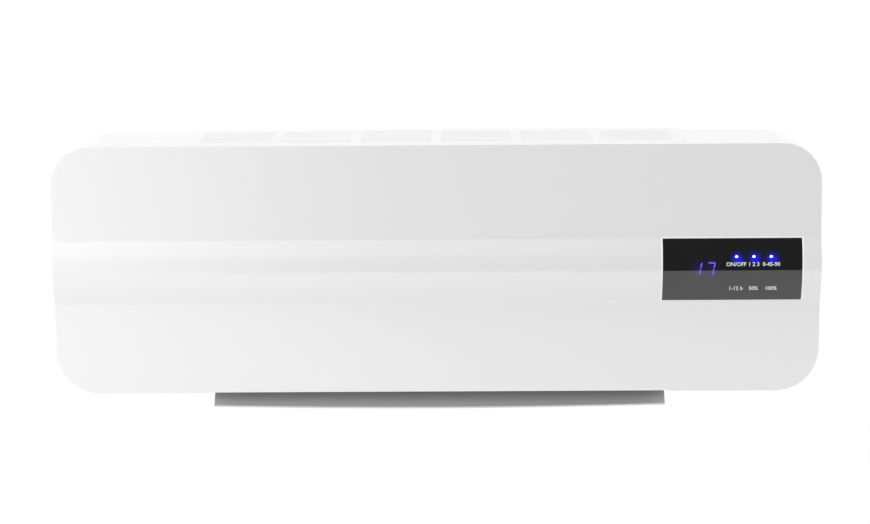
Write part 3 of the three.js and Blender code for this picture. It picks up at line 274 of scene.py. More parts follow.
plasticLooks = {
    "casing_white": {
        "color": (0.87, 0.87, 0.878), "roughness": 0.14, "spread": 0.03, "ior": 1.8,
        "variation": 0.012, "marks": 14.0, "grain": 900.0, "bump": 0.000003,
    },
    # a brighter white that paints a highlight on the window rim and the louvre bevel
    "edge_white": {
        "color": (0.985, 0.985, 0.99), "roughness": 0.3, "spread": 0.05, "ior": 1.3,
        "variation": 0.01, "bump": 0.000002,
    },
    "inside_white": {"color": (0.8, 0.8, 0.79), "roughness": 0.5, "dust": 0.3},
    "louvre_grey": {
        # the first two entries set the blade's painted shade, darker towards its pins
        "fade": (-0.092, -0.104), "darkest": 0.5, "color": (0.68, 0.682, 0.69), "roughness": 0.25,
        "ior": 1.8, "grain": 3200.0, "bump": 0.00003, "variation": 0.05,
    },
    "dark_plastic": {
        "color": (0.018, 0.018, 0.019), "roughness": 0.48, "dust": 0.25, "variation": 0.15,
        "bump": 0.00004,
    },
    "heat_plastic": {
        "color": (0.05, 0.042, 0.034), "roughness": 0.6, "variation": 0.25, "dust": 0.3,
        "bump": 0.00006,
    },
    "clear_lens": {"color": (0.72, 0.76, 0.85), "roughness": 0.12, "ior": 1.54, "coat": 0.5},
    "relay_blue": {"color": (0.02, 0.09, 0.32), "roughness": 0.4, "variation": 0.1},
    "wire_blue": {"color": (0.03, 0.11, 0.4), "roughness": 0.42, "variation": 0.1},
    "wire_brown": {"color": (0.13, 0.05, 0.022), "roughness": 0.42, "variation": 0.1},
    "wire_white": {"color": (0.66, 0.66, 0.62), "roughness": 0.5, "variation": 0.06},
    "rubber_grey": {
        "color": (0.028, 0.029, 0.031), "roughness": 0.75, "spread": 0.15, "variation": 0.2,
        "grain": 1400.0, "bump": 0.00008,
    },
}
metalLooks = {
    "steel": {
        "color": (0.62, 0.63, 0.64), "tarnish": (0.4, 0.42, 0.46), "roughness": 0.32,
        "stretch": (1, 1, 0.06),
    },
    "aluminium": {
        "color": (0.78, 0.79, 0.8), "tarnish": (0.55, 0.55, 0.56), "roughness": 0.36,
        "stretch": (0.05, 1, 1),
    },
    "brass": {
        "color": (0.7, 0.5, 0.2), "tarnish": (0.35, 0.22, 0.1), "roughness": 0.34,
        "stretch": (0.06, 1, 1),
    },
}
materials = {slot: plastic(slot, look) for slot, look in plasticLooks.items()}
materials["louvre_grey"] = louvreGreyPaintedShade(plasticLooks["louvre_grey"])
materials.update({slot: metal(slot, look) for slot, look in metalLooks.items()})


# ---- finishes that show what they are made of
def stackedLaminations():
    material, tree, shader = newMaterial("laminations", Metallic=1.0, Roughness=0.45)
    place = addNode(tree, "TexCoord").outputs["Object"]
    along = addNode(tree, "SeparateXYZ", {0: place}).outputs[0]
    sheet = calc(tree, "FRACT", calc(tree, "MULTIPLY", along, 1 / laminationPitch))
    apart = calc(tree, "PINGPONG", sheet, 0.5)
    gap = addNode(tree, "MapRange", {0: apart, 1: 0.0, 2: 0.16, 3: 0.0, 4: 1.0}).outputs[0]
    brushed = addNode(tree, "Group", node_tree=groups["brushed"])
    brushed.inputs["Color"].default_value = (0.33, 0.33, 0.34, 1)
    brushed.inputs["Tarnish"].default_value = (0.2, 0.13, 0.09, 1)
    brushed.inputs["Amount"].default_value = 0.35
    color = mixColors(tree, gap, (0.08, 0.08, 0.085, 1), brushed.outputs["Color"])
    tree.links.new(color, shader.inputs["Base Color"])
    tree.links.new(brushed.outputs["Roughness"], shader.inputs["Roughness"])
    addBump(tree, shader, gap, 0.0001)
    return material


def tapedWinding():
    # copper under clear tape: fine turns
    material, tree, shader = newMaterial("copper_winding", IOR=1.5)
    shader.inputs["Coat Weight"].default_value = 0.6
    place = addNode(tree, "TexCoord").outputs["Object"]
    parts = addNode(tree, "SeparateXYZ", {0: place})
    turns = calc(tree, "PINGPONG", calc(tree, "MULTIPLY", parts.outputs[2], 1 / wirePitch), 0.5)
    rounded = calc(tree, "POWER", calc(tree, "MULTIPLY", turns, 2.0), 0.5)
    cloud = addNode(tree, "TexNoise", {"Vector": place, "Scale": 160.0, "Detail": 4.0}).outputs[0]
    copper = mixColors(tree, cloud, (0.42, 0.13, 0.05, 1), (0.66, 0.3, 0.13, 1))
    color = mixColors(tree, rounded, (0.12, 0.03, 0.012, 1), copper)
    tree.links.new(color, shader.inputs["Base Color"])
    rough = addNode(tree, "MapRange", {0: cloud, 3: 0.25, 4: 0.5}).outputs[0]
    tree.links.new(rough, shader.inputs["Roughness"])
    addBump(tree, shader, rounded, 0.0001)
    return material


def circuitBoard():
    # solder mask over copper tracks, with a cloud of flux and tinned pads
    material, tree, shader = newMaterial("board_green", IOR=1.5)
    place = addNode(tree, "TexCoord").outputs["Object"]
    cells = {"Vector": place, "Scale": 240.0}
    tracks = addNode(tree, "TexVoronoi", cells, distance="CHEBYCHEV", feature="DISTANCE_TO_EDGE")
    border = tracks.outputs["Distance"]
    line = addNode(tree, "MapRange", {0: border, 1: 0.05, 2: 0.09, 3: 0.0, 4: 1.0}).outputs[0]
    cloud = addNode(tree, "TexNoise", {"Vector": place, "Scale": 60.0, "Detail": 4.0}).outputs[0]
    mask = mixColors(tree, cloud, (0.012, 0.11, 0.045, 1), (0.02, 0.17, 0.07, 1))
    color = mixColors(tree, line, (0.008, 0.07, 0.03, 1), mask)
    spots = addNode(tree, "TexVoronoi", {"Vector": place, "Scale": 330.0, "Randomness": 0.7})
    pad = addNode(tree, "MapRange", {0: spots.outputs["Distance"], 1: 0.16, 2: 0.2, 3: 1.0, 4: 0.0}).outputs[0]
    tree.links.new(mixColors(tree, pad, color, (0.55, 0.55, 0.53, 1)), shader.inputs["Base Color"])
    rough = addNode(tree, "MapRange", {0: cloud, 3: 0.25, 4: 0.5}).outputs[0]
    tree.links.new(rough, shader.inputs["Roughness"])
    addBump(tree, shader, line, 0.00004)
    return material


def wovenNet():
    material, tree, shader = newMaterial("net_grey", Roughness=0.7)
    place = addNode(tree, "TexCoord").outputs["Object"]
    parts = addNode(tree, "SeparateXYZ", {0: place})
    turns = [calc(tree, "MULTIPLY", parts.outputs[axis], 2 * math.pi / strandTwist) for axis in (0, 1)]
    height = calc(tree, "MULTIPLY", calc(tree, "SINE", turns[0]), calc(tree, "SINE", turns[1]))
    cloud = addNode(tree, "TexNoise", {"Vector": place, "Scale": 40.0, "Detail": 5.0}).outputs[0]
    color = mixColors(tree, cloud, (0.22, 0.225, 0.23, 1), (0.36, 0.36, 0.35, 1))
    tree.links.new(color, shader.inputs["Base Color"])
    addBump(tree, shader, height, 0.00005)
    return material


def yellowTape():
    # tape wound round: bands with a darker lap line, and a glossy skin
    material, tree, shader = newMaterial("capacitor_yellow", IOR=1.5)
    shader.inputs["Coat Weight"].default_value = 0.4
    place = addNode(tree, "TexCoord").outputs["Object"]
    parts = addNode(tree, "SeparateXYZ", {0: place})
    lap = calc(tree, "PINGPONG", calc(tree, "MULTIPLY", parts.outputs[2], 1 / tapeWidth), 0.5)
    line = addNode(tree, "MapRange", {0: lap, 1: 0.0, 2: 0.05, 3: 0.0, 4: 1.0}).outputs[0]
    cloud = addNode(tree, "TexNoise", {"Vector": place, "Scale": 130.0, "Detail": 4.0}).outputs[0]
    tape = mixColors(tree, cloud, (0.62, 0.4, 0.02, 1), (0.76, 0.54, 0.06, 1))
    tree.links.new(mixColors(tree, line, (0.3, 0.17, 0.01, 1), tape), shader.inputs["Base Color"])
    rough = addNode(tree, "MapRange", {0: cloud, 3: 0.28, 4: 0.45}).outputs[0]
    tree.links.new(rough, shader.inputs["Roughness"])
    addBump(tree, shader, line, 0.00006)
    return material


laminationPitch = 0.7 * mm
wirePitch = 0.45 * mm
strandTwist = 0.5 * mm
tapeWidth = 6 * mm
materials["laminations"] = stackedLaminations()
materials["copper_winding"] = tapedWinding()
materials["board_green"] = circuitBoard()
materials["net_grey"] = wovenNet()
materials["capacitor_yellow"] = yellowTape()
print("materials made:", len(materials))


# ---- modelling helpers
def deselect():
    if bpy.context.object and bpy.context.object.mode != "OBJECT":
        bpy.ops.object.mode_set(mode="OBJECT")
    bpy.ops.object.select_all(action="DESELECT")


def activate(obj):
    deselect()
    obj.select_set(True)
    bpy.context.view_layer.objects.active = obj


def edit(obj):
    activate(obj)
    bpy.ops.object.mode_set(mode="EDIT")


def pick(obj, kind, test):
    # selects the vertices, edges or faces that pass the test; the object is in edit mode
    bpy.ops.mesh.select_mode(type={"verts": "VERT", "edges": "EDGE", "faces": "FACE"}[kind])
    bpy.ops.mesh.select_all(action="DESELECT")
    mesh = bmesh.from_edit_mesh(obj.data)
    mesh.normal_update()
    for element in getattr(mesh, kind):
        if test(element):
            element.select_set(True)
    mesh.select_flush_mode()
    bmesh.update_edit_mesh(obj.data)


def middle(edge):
    return (edge.verts[0].co + edge.verts[1].co) / 2


def alongAxis(edge, axis):
    run = (edge.verts[1].co - edge.verts[0].co).normalized()
    return abs(run[axis]) > 0.999


def addBlock(name, low, high):
    deselect()
    centre = [(a + b) / 2 for a, b in zip(low, high)]
    size = [b - a for a, b in zip(low, high)]
    bpy.ops.mesh.primitive_cube_add(size=1, location=centre, scale=size)
    return settled(name)


def addPanel(name, place, width, height, upright=False):
    deselect()
    bpy.ops.mesh.primitive_plane_add(size=1, location=(0, 0, 0))
    panel = bpy.context.object
    panel.scale = (width, height, 1)
    panel.rotation_euler = (math.pi / 2 if upright else 0, 0, 0)
    panel.location = place
    return settled(name)


def addBoss(start, length, radius, sides=24):
    # a rod that runs from its start along +Y
    deselect()
    centre = Vector(start)
    centre.y += length / 2
    bpy.ops.mesh.primitive_cylinder_add(
        vertices=sides, radius=radius, depth=length, location=centre, rotation=(math.pi / 2, 0, 0)
    )
    return settled("boss")


def settled(name):
    obj = bpy.context.object
    obj.name = name
    bpy.ops.object.transform_apply(location=True, rotation=True, scale=True)
    return obj


def combine(obj, operation, tools):
    for tool in tools:
        activate(obj)
        modifier = obj.modifiers.new("cut", "BOOLEAN")
        modifier.operation = operation
        modifier.solver = "EXACT"
        modifier.object = tool
        bpy.ops.object.modifier_apply(modifier="cut")
        bpy.data.objects.remove(tool)
    return obj


def cutRows(obj, heights):
    for height in heights:
        bpy.ops.mesh.select_all(action="SELECT")
        bpy.ops.mesh.bisect(plane_co=(0, 0, height), plane_no=(0, 0, 1))


def moveRows(obj, isMoved, shiftAt):
    # moves the chosen vertices out or in, one height after another
    mesh = bmesh.from_edit_mesh(obj.data)
    heights = []
    for height in sorted(v.co.z for v in mesh.verts if isMoved(v)):
        if not heights or height - heights[-1] > 1e-6:
            heights.append(height)
    for height in heights:
        pick(obj, "verts", lambda v: isMoved(v) and abs(v.co.z - height) < 2e-6)
        bpy.ops.transform.translate(value=(0, shiftAt(height), 0))


def bevelPicked(width, segments):
    bpy.ops.mesh.bevel(
        offset=width, offset_type="OFFSET", segments=segments, profile=0.5, affect="EDGES", clamp_overlap=True
    )


def finishMesh(obj, angle=30, weighted=True):
    activate(obj)
    bpy.ops.object.shade_smooth_by_angle(angle=math.radians(angle))
    if weighted:
        modifier = obj.modifiers.new("faceNormals", "WEIGHTED_NORMAL")
        modifier.keep_sharp = True
        modifier.weight = 90
        bpy.ops.object.modifier_apply(modifier="faceNormals")
    deselect()


def wear(obj, slot):
    # gives the whole piece one of the finishes, under the record's slot name
    obj.data.materials.clear()
    obj.data.materials.append(materials[slot])
    return obj


def seat(obj, slot, body, *nodes):
    wear(obj, slot)
    if nodes:
        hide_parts(*nodes)
    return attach(obj, body)


def cleanCopy(node, name):
    source = frame["nodes"][node]
    obj = bpy.data.objects.new(name, source.data.copy())
    scene.collection.objects.link(obj)
    edit(obj)
    bpy.ops.mesh.select_all(action="SELECT")
    bpy.ops.mesh.remove_doubles(threshold=2e-6)
    bpy.ops.mesh.dissolve_limited(angle_limit=math.radians(0.2))
    bpy.ops.object.mode_set(mode="OBJECT")
    return obj


def softenEdges(obj, width, segments=2, limit=40):
    activate(obj)
    modifier = obj.modifiers.new("edges", "BEVEL")
    modifier.width = width
    modifier.segments = segments
    modifier.limit_method = "ANGLE"
    modifier.angle_limit = math.radians(limit)
    bpy.ops.object.modifier_apply(modifier="edges")
    return obj


# ---- front cover
frontFace = {
    "crest": -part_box("front_cover")[0].y,
    "crestHeight": 2 * mm,
    "creaseTop": 22.6 * mm,
    "creaseBottom": -24.2 * mm,
    "upperTop": 106 * mm,
    "upperFoot": 108.3 * mm,
    "lowerHead": 106.2 * mm,
    "lowerFoot": 103.5 * mm,
    "bandRows": 30,
    "cornerTop": 28 * mm,
    "cornerBottom": 31.5 * mm,
    "cornerSteps": 14,
    "edgeFillet": 1.7 * mm,
    "filletSteps": 4,
    "creaseTopFillet": 0.5 * mm,
    "creaseBottomFillet": 2.4 * mm,
    "wall": 2.6 * mm,
    "bossStart": -200 * mm,
    "bossLength": 190 * mm,
    "bossRadius": 4.6 * mm,
    "bossSide": 262 * mm,
    "bossHeight": 70 * mm,
    "rim": 1.3 * mm,
    "rimDepth": 0.12 * mm,
    "rimGap": 0.12 * mm,
    "inletHalf": 178 * mm,
    "inletFront": 92 * mm,
    "inletRear": 8 * mm,
    "rebate": 1.4 * mm,
    "rebateGap": 0.4 * mm,
    "outletBevel": 2.0 * mm,
    "outletHalf": 170.7 * mm,
    "outletRear": 40 * mm,
    "outletFront": 95.6 * mm,
    "switchHalfDepth": 7 * mm,
    "switchHalfHeight": 10.5 * mm,
    "switchDepth": 60 * mm,
    "switchHeight": -30 * mm,
}


def faceDepth(height):
    f = frontFace
    top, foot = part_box("front_cover")[1].z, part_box("front_cover")[0].z
    if height > f["creaseTop"]:
        share = (height - f["creaseTop"]) / (top - f["creaseTop"])
        return f["upperFoot"] + (f["upperTop"] - f["upperFoot"]) * share
    if height < f["creaseBottom"]:
        share = (height - foot) / (f["creaseBottom"] - foot)
        return f["lowerFoot"] + (f["lowerHead"] - f["lowerFoot"]) * share
    if height > f["crestHeight"]:
        share = (height - f["crestHeight"]) / (f["creaseTop"] - f["crestHeight"])
        return f["crest"] - (f["crest"] - f["upperFoot"]) * share**2
    share = (f["crestHeight"] - height) / (f["crestHeight"] - f["creaseBottom"])
    return f["crest"] - (f["crest"] - f["lowerHead"]) * share**2


def bandHeights(low, high, rows):
    return [low + (high - low) * i / rows for i in range(rows + 1)]


def casingBody(name, inset, setback, rear):
    # a rounded block whose front follows the casing's face
    f = frontFace
    low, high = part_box("front_cover")
    front = -(f["crest"] - setback)
    obj = addBlock(name, (low.x + inset, front, low.z + inset), (high.x - inset, -rear, high.z - inset))
    edit(obj)
    for radius, upper in ((f["cornerTop"], True), (f["cornerBottom"], False)):
        end = high.x - inset - 1e-5
        pick(obj, "edges", lambda e: alongAxis(e, 1) and abs(middle(e).x) > end and (middle(e).z > 0) == upper)
        bevelPicked(radius - inset, f["cornerSteps"])
    cutRows(obj, bandHeights(f["creaseBottom"], f["creaseTop"], f["bandRows"]))
    moveRows(obj, lambda v: v.co.y < front + 1e-6, lambda z: f["crest"] - faceDepth(z))
    return obj


def liesInFront(edge, height):
    return alongAxis(edge, 0) and abs(middle(edge).z - height) < 1e-6 and middle(edge).y < -0.1


def isFrontEdge(edge):
    faces = [face.normal.y for face in edge.link_faces]
    return len(faces) == 2 and min(faces) < -0.8 and max(faces) > -0.3


def curvedSlab(name, low, high, setback, rows, flare=0.0):
    # a plate between two corners (x, z) that follows the band, its front a given way behind the face
    crest = frontFace["crest"]
    obj = addBlock(name, (low[0], -(crest - setback[0]), low[1]), (high[0], -(crest - setback[1]), high[1]))
    edit(obj)
    if flare:
        pick(obj, "faces", lambda face: face.normal.y < -0.9)
        width, height = high[0] - low[0], high[1] - low[1]
        bpy.ops.transform.resize(value=(1 + 2 * flare / width, 1, 1 + 2 * flare / height))
    cutRows(obj, bandHeights(low[1] - flare, high[1] + flare, rows)[1:-1])
    moveRows(obj, lambda v: True, lambda z: crest - faceDepth(z))
    bpy.ops.object.mode_set(mode="OBJECT")
    return obj


def frontCover():
    f = frontFace
    low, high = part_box("front_cover")
    rear = -high.y
    shell = casingBody("casingFront", 0, 0, rear)
    for crease, segments in (("creaseTop", 2), ("creaseBottom", 4)):
        pick(shell, "edges", lambda e: liesInFront(e, f[crease]))
        bevelPicked(f[crease + "Fillet"], segments)
    pick(shell, "edges", isFrontEdge)
    bevelPicked(f["edgeFillet"], f["filletSteps"])
    hollow = casingBody("hollow", f["wall"], f["wall"], rear - 5 * mm)
    bosses = [
        addBoss((x * f["bossSide"], f["bossStart"], z * f["bossHeight"]), f["bossLength"], f["bossRadius"])
        for x in (-1, 1)
        for z in (-1, 1)
    ]
    combine(hollow, "DIFFERENCE", bosses)
    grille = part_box("intake_grille")
    left, right, bottom, top = windowEdges(f["rimGap"])
    windowHole = curvedSlab("hole", (left, bottom), (right, top), (-4 * mm, 9 * mm), 16)
    outer = windowEdges(f["rimGap"] + f["rim"])
    rim = curvedSlab("rim", (outer[0], outer[2]), (outer[1], outer[3]), (-1 * mm, f["rimDepth"]), 64)
    above, below = high.z + 8.5 * mm, low.z - 8.5 * mm
    rebateSide = grille[1].x + f["rebateGap"]
    rebateFront, rebateRear = grille[0].y - f["rebateGap"], grille[1].y + f["rebateGap"]
    half = f["inletHalf"]
    inlet = [
        addBlock("inlet", (-half, -f["inletFront"], 80 * mm), (half, -f["inletRear"], above)),
        addBlock("rebate", (-rebateSide, rebateFront, high.z - f["rebate"]), (rebateSide, rebateRear, above)),
    ]
    outlet = addBlock(
        "outlet", (-f["outletHalf"], -f["outletFront"], below), (f["outletHalf"], -f["outletRear"], -80 * mm)
    )
    edge = f["outletBevel"] / math.sqrt(2) * 2
    bevelMiddle = (0, -f["lowerFoot"], low.z)
    deselect()
    bpy.ops.mesh.primitive_cube_add(
        size=1, location=bevelMiddle, rotation=(math.pi / 4, 0, 0), scale=(2 * f["outletHalf"], edge, edge)
    )
    footBevel = settled("footBevel")
    centre = Vector((high.x, -f["switchDepth"], f["switchHeight"]))
    reach = Vector((10 * mm, f["switchHalfDepth"], f["switchHalfHeight"]))
    switchHole = addBlock("switchHole", centre - reach, centre + reach)
    combine(shell, "DIFFERENCE", [hollow, rim, windowHole, *inlet, outlet, footBevel, switchHole])
    finishMesh(shell, 33)
    seat(shell, "casing_white", "casing", "front_cover")
    paintHighlightEdges(shell, outer)
    return shell


def windowEdges(margin):
    # left, right, bottom and top of the window pane, grown by a margin
    w = windowLook
    low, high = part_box("display_window")
    left, right = low.x + w["flangeLeft"], high.x - w["flangeRight"]
    return left - margin, right + margin, w["bottom"] - margin, w["top"] + margin


def paintHighlightEdges(shell, outer):
    # the thin rim round the window and the bevel over the louvre are given a brighter white: a painted
    # highlight
    f = frontFace
    left, right, bottom, top = outer
    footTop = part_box("front_cover")[0].z + 1.01 * f["outletBevel"]
    shell.data.materials.append(materials["edge_white"])
    for face in shell.data.polygons:
        place, slant = face.center, face.normal.y
        near = left - 0.1 * mm < place.x < right + 0.1 * mm and bottom - 0.1 * mm < place.z < top + 0.1 * mm
        isRim = near and slant < -0.5 and faceDepth(place.z) + place.y > f["rimDepth"] / 2
        isFoot = place.z < footTop and abs(place.x) < f["outletHalf"] and -0.8 < slant < -0.6
        if isRim or isFoot:
            face.material_index = 1


windowLook = {
    "top": 22.5 * mm,
    "bottom": -23.1 * mm,
    "thickness": 3.2 * mm,
    "edge": 0.3 * mm,
    "rows": 44,
    "flangeLeft": 2.2 * mm,
    "flangeRight": 1.6 * mm,
    "flangeWall": 1.2 * mm,
    "color": (0.0135, 0.0135, 0.0142),
    "glow": (0.004, 0.004, 0.72),
    "digitGlow": (0.004, 0.001, 0.05),
}
lampLook = {
    "first": 218.2 * mm,
    "pitch": 12.6 * mm,
    "upper": 9.4 * mm,
    "core": 1.15 * mm,
    "flatness": 0.12,
    "halo": 2.9 * mm,
    "fullness": 1.6,
    "drift": (0.7 * mm, -1.5 * mm),
    "color": (0.7, 0.8, 1.0),
}
digitLook = {
    "middle": 194.5 * mm,
    "height": 0.9 * mm,
    "tall": 9.5 * mm,
    "wide": 5.0 * mm,
    "stroke": 1.0 * mm,
    "gap": 0.7 * mm,
    "slant": 0.2,
    "spacing": 9.6 * mm,
    "color": (0.12, 0.055, 0.56),
}
legendLook = {
    "tall": 2.9 * mm,
    "bold": 0.08 * mm,
    "upperRow": (3.9 * mm, ("ON/OFF", "1 2 3", "0-45-90")),
    "lowerRow": (-14.2 * mm, ("1-12 h", "50%", "100%")),
    "across": (218.0 * mm, 230.8 * mm, 243.5 * mm),
    "color": (0.8, 0.8, 0.8),
    "roughness": 0.5,
    "variation": 0.1,
}
segmentsOf = {1: "bc", 7: "abc"}  # a top, b upper right, c lower right


def windowMaterial():
    w, l, d = windowLook, lampLook, digitLook
    material, tree, shader = newMaterial("window_black", IOR=1.78, Roughness=0.03)
    shader.inputs["Emission Strength"].default_value = 1.0
    place = addNode(tree, "TexCoord").outputs["Object"]
    cloud = addNode(tree, "TexNoise", {"Vector": place, "Scale": 35.0, "Detail": 3.0}).outputs[0]
    smear = addNode(tree, "MapRange", {0: cloud, 3: 0.02, 4: 0.05}).outputs[0]
    tree.links.new(smear, shader.inputs["Roughness"])
    paler = [c * 1.2 for c in w["color"]]
    tree.links.new(mixColors(tree, cloud, (*w["color"], 1), (*paler, 1)), shader.inputs["Base Color"])
    glow = (0, 0, 0, 1)
    for i in range(3):
        centre = (l["first"] + i * l["pitch"] + l["drift"][0], 0, l["upper"] + l["drift"][1])
        spot = addNode(tree, "Group", node_tree=groups["glow"])
        spot.inputs["Centre"].default_value = centre
        spot.inputs["Radius"].default_value = l["halo"]
        spot.inputs["Fullness"].default_value = l["fullness"]
        glow = mixColors(tree, spot.outputs[0], glow, (*w["glow"], 1))
    for side in (-0.5, 0.5):
        spot = addNode(tree, "Group", node_tree=groups["glow"])
        spot.inputs["Centre"].default_value = (d["middle"] + side * d["spacing"], 0, d["height"] - 1 * mm)
        spot.inputs["Radius"].default_value = d["tall"] * 0.62
        spot.inputs["Squeeze"].default_value = 1.5
        glow = mixColors(tree, spot.outputs[0], glow, (*w["digitGlow"], 1))
    tree.links.new(glow, shader.inputs["Emission Color"])
    return material


def shining(name, color, strength):
    material, tree, shader = newMaterial(name, Roughness=0.3)
    shader.inputs["Emission Strength"].default_value = strength
    place = addNode(tree, "TexCoord").outputs["Object"]
    cloud = addNode(tree, "TexNoise", {"Vector": place, "Scale": 900.0, "Detail": 2.0}).outputs[0]
    dim = tuple(c * 0.8 for c in color)
    tree.links.new(mixColors(tree, cloud, (*dim, 1), (*color, 1)), shader.inputs["Emission Color"])
    shader.inputs["Base Color"].default_value = (*color, 1)
    return material


materials["window_black"] = windowMaterial()
materials["lampCore"] = shining("lampCore", lampLook["color"], 1.35)
materials["digitLight"] = shining("digitLight", digitLook["color"], 1.0)
materials["legendPrint"] = plastic("legendPrint", legendLook)


def displayWindow():
    w = windowLook
    low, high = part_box("display_window")
    left, right, bottom, top = windowEdges(0)
    lens = curvedSlab("displayWindow", (left, bottom), (right, top), (0, w["thickness"]), w["rows"])
    edit(lens)
    pick(lens, "edges", isFrontEdge)
    bevelPicked(w["edge"], 3)
    bpy.ops.object.mode_set(mode="OBJECT")
    behind = frontFace["wall"] + 0.3 * mm
    foot, head = (low.x, frontFace["creaseBottom"]), (high.x, frontFace["creaseTop"])
    flange = curvedSlab("flange", foot, head, (behind, behind + w["flangeWall"]), w["rows"])
    combine(lens, "UNION", [flange])
    finishMesh(lens, 35)
    return seat(lens, "window_black", "casing", "display_window")


def layOnWindow(obj, lift):
    # drops a flat mesh on the window's curved face
    activate(obj)
    modifier = obj.modifiers.new("lay", "SHRINKWRAP")
    modifier.wrap_method = "PROJECT"
    modifier.use_project_y = True
    modifier.use_project_x = modifier.use_project_z = False
    modifier.use_positive_direction = True
    modifier.use_negative_direction = True
    modifier.target = bpy.data.objects["displayWindow"]
    modifier.offset = lift
    bpy.ops.object.modifier_apply(modifier="lay")
    return obj


def lightUp(obj, material):
    obj.data.materials.clear()
    obj.data.materials.append(materials[material])
    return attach(obj, "casing")


def lampCores():
    l = lampLook
    for i in range(3):
        deselect()
        x, z = l["first"] + i * l["pitch"], l["upper"]
        y = -faceDepth(z)
        bpy.ops.mesh.primitive_uv_sphere_add(
            segments=24, ring_count=12, radius=l["core"], location=(x, y, z), scale=(1, l["flatness"], 1)
        )
        core = settled(f"lampCore.{i + 1}")
        edit(core)
        pick(core, "verts", lambda v: v.co.y > y + 0.05 * mm)
        bpy.ops.transform.translate(value=(0, 0.2 * mm, 0))
        bpy.ops.object.mode_set(mode="OBJECT")
        finishMesh(core, 60, weighted=False)
        lightUp(core, "lampCore")


def digitBars():
    d = digitLook
    for place, digit in ((-0.5, 1), (0.5, 7)):
        for part in segmentsOf[digit]:
            upright = part in "bc"
            long = d["tall"] / 2 - d["gap"] if upright else d["wide"] - d["gap"] / 2
            x = d["middle"] + place * d["spacing"] + (d["wide"] / 2 if upright else 0)
            rise = {"a": d["tall"] / 2 - d["stroke"] / 2, "b": d["tall"] / 4, "c": -d["tall"] / 4}
            z = d["height"] + rise[part]
            half = (d["stroke"] / 2, long / 2) if upright else (long / 2, d["stroke"] / 2)
            front = -faceDepth(z) - 0.06 * mm
            low, high = (x - half[0], front, z - half[1]), (x + half[0], front + 0.4 * mm, z + half[1])
            bar = addBlock(f"digit{digit}.{part}", low, high)
            edit(bar)
            pick(bar, "edges", lambda e: alongAxis(e, 1))
            bevelPicked(d["stroke"] * 0.42, 3)
            cutRows(bar, bandHeights(z - half[1], z + half[1], 6)[1:-1])
            moveRows(bar, lambda v: True, lambda height: faceDepth(z) - faceDepth(height))
            mesh = bmesh.from_edit_mesh(bar.data)
            for height in sorted({round(v.co.z, 6) for v in mesh.verts}):
                pick(bar, "verts", lambda v: abs(v.co.z - height) < 1e-6)
                bpy.ops.transform.translate(value=((height - d["height"]) * d["slant"], 0, 0))
            bpy.ops.object.mode_set(mode="OBJECT")
            finishMesh(bar, 40, weighted=False)
            lightUp(bar, "digitLight")


def legends():
    g = legendLook
    for row in ("upperRow", "lowerRow"):
        height, words = g[row]
        for i, (word, x) in enumerate(zip(words, g["across"])):
            deselect()
            bpy.ops.object.text_add(location=(0, 0, 0))
            text = bpy.context.object
            text.data.body = word
            text.data.align_x = "CENTER"
            text.data.align_y = "CENTER"
            text.data.size = g["tall"] / 0.72
            text.data.resolution_u = 3
            text.data.offset = g["bold"]
            bpy.ops.object.convert(target="MESH")
            text = bpy.context.object
            text.name = f"legend.{row}.{i + 1}"
            text.rotation_euler = (math.pi / 2, 0, 0)
            text.location = (x, -faceDepth(height) - 1 * mm, height)
            bpy.ops.object.transform_apply(location=True, rotation=True, scale=True)
            layOnWindow(text, 0.03 * mm)
            lightUp(text, "legendPrint")


frontCover()
print("front cover made")
displayWindow()
lampCores()
digitBars()
legends()
print("display made")


# ---- pieces that keep the model's shape, with rounded edges and smooth rounds
dressed = {
    # node: body, edge rounding in mm, smoothing angle
    "rear_housing": ("casing", 0.5, 30),
    "intake_grille": ("filter_cassette", 0.25, 30),
    "louvre_blade": ("louvre", 0.5, 30),
    "louvre_shaft": ("louvre", 0.2, 35),
    "switch_housing": ("casing", 0.3, 30),
    "switch_rocker": ("rocker", 0.3, 30),
    "cable_gland": ("casing", 0.4, 30),
    "outlet_guard": ("casing", 0.2, 30),
    "fan_wheel": ("fan", 0.0, 32),
    "motor_shaft": ("fan", 0.3, 35),
    "motor_rotor": ("fan", 0.3, 35),
    "fan_bearing": ("casing", 0.3, 35),
    "motor_stator": ("casing", 0.2, 35),
    "motor_coil": ("casing", 1.2, 30),
    "motor_bracket_inner": ("casing", 0.3, 35),
    "motor_bracket_outer": ("casing", 0.3, 35),
    "motor_screw_1": ("casing", 0.2, 35),
    "motor_screw_2": ("casing", 0.2, 35),
    "case_screw_1": ("casing", 0.2, 35),
    "case_screw_2": ("casing", 0.2, 35),
    "case_screw_3": ("casing", 0.2, 35),
    "case_screw_4": ("casing", 0.2, 35),
    "fan_duct": ("casing", 0.3, 30),
    "vortex_tongue": ("casing", 0.3, 30),
    "heater_frame": ("casing", 0.3, 30),
    "thermal_cutout": ("casing", 0.2, 35),
    "louvre_motor": ("casing", 0.3, 35),
    "louvre_bush": ("casing", 0.2, 35),
    "filter_tray": ("filter_cassette", 0.2, 30),
    "terminal_block": ("casing", 0.3, 35),
    "relay_low": ("casing", 0.4, 30),
    "relay_high": ("casing", 0.4, 30),
    "mains_capacitor": ("casing", 0.6, 30),
    "smoothing_capacitor": ("casing", 0.5, 35),
    "transformer": ("casing", 0.3, 30),
    "power_board": ("casing", 0.1, 35),
    "display_board": ("casing", 0.1, 35),
    "infrared_receiver": ("casing", 0.3, 35),
    "digit_module": ("casing", 0.2, 30),
}
slotLook = {
    "columns": 6,
    "rows": 8,
    "columnPitch": 356 / 6 * mm,
    "length": (356 / 6 - 8) * mm,
    "rowPitch": 8.4 * mm,
    "middle": -50 * mm,
    "width": 2.6 * mm,
    "lean": 1.8 * mm,
    "drop": 0.8 * mm,
}


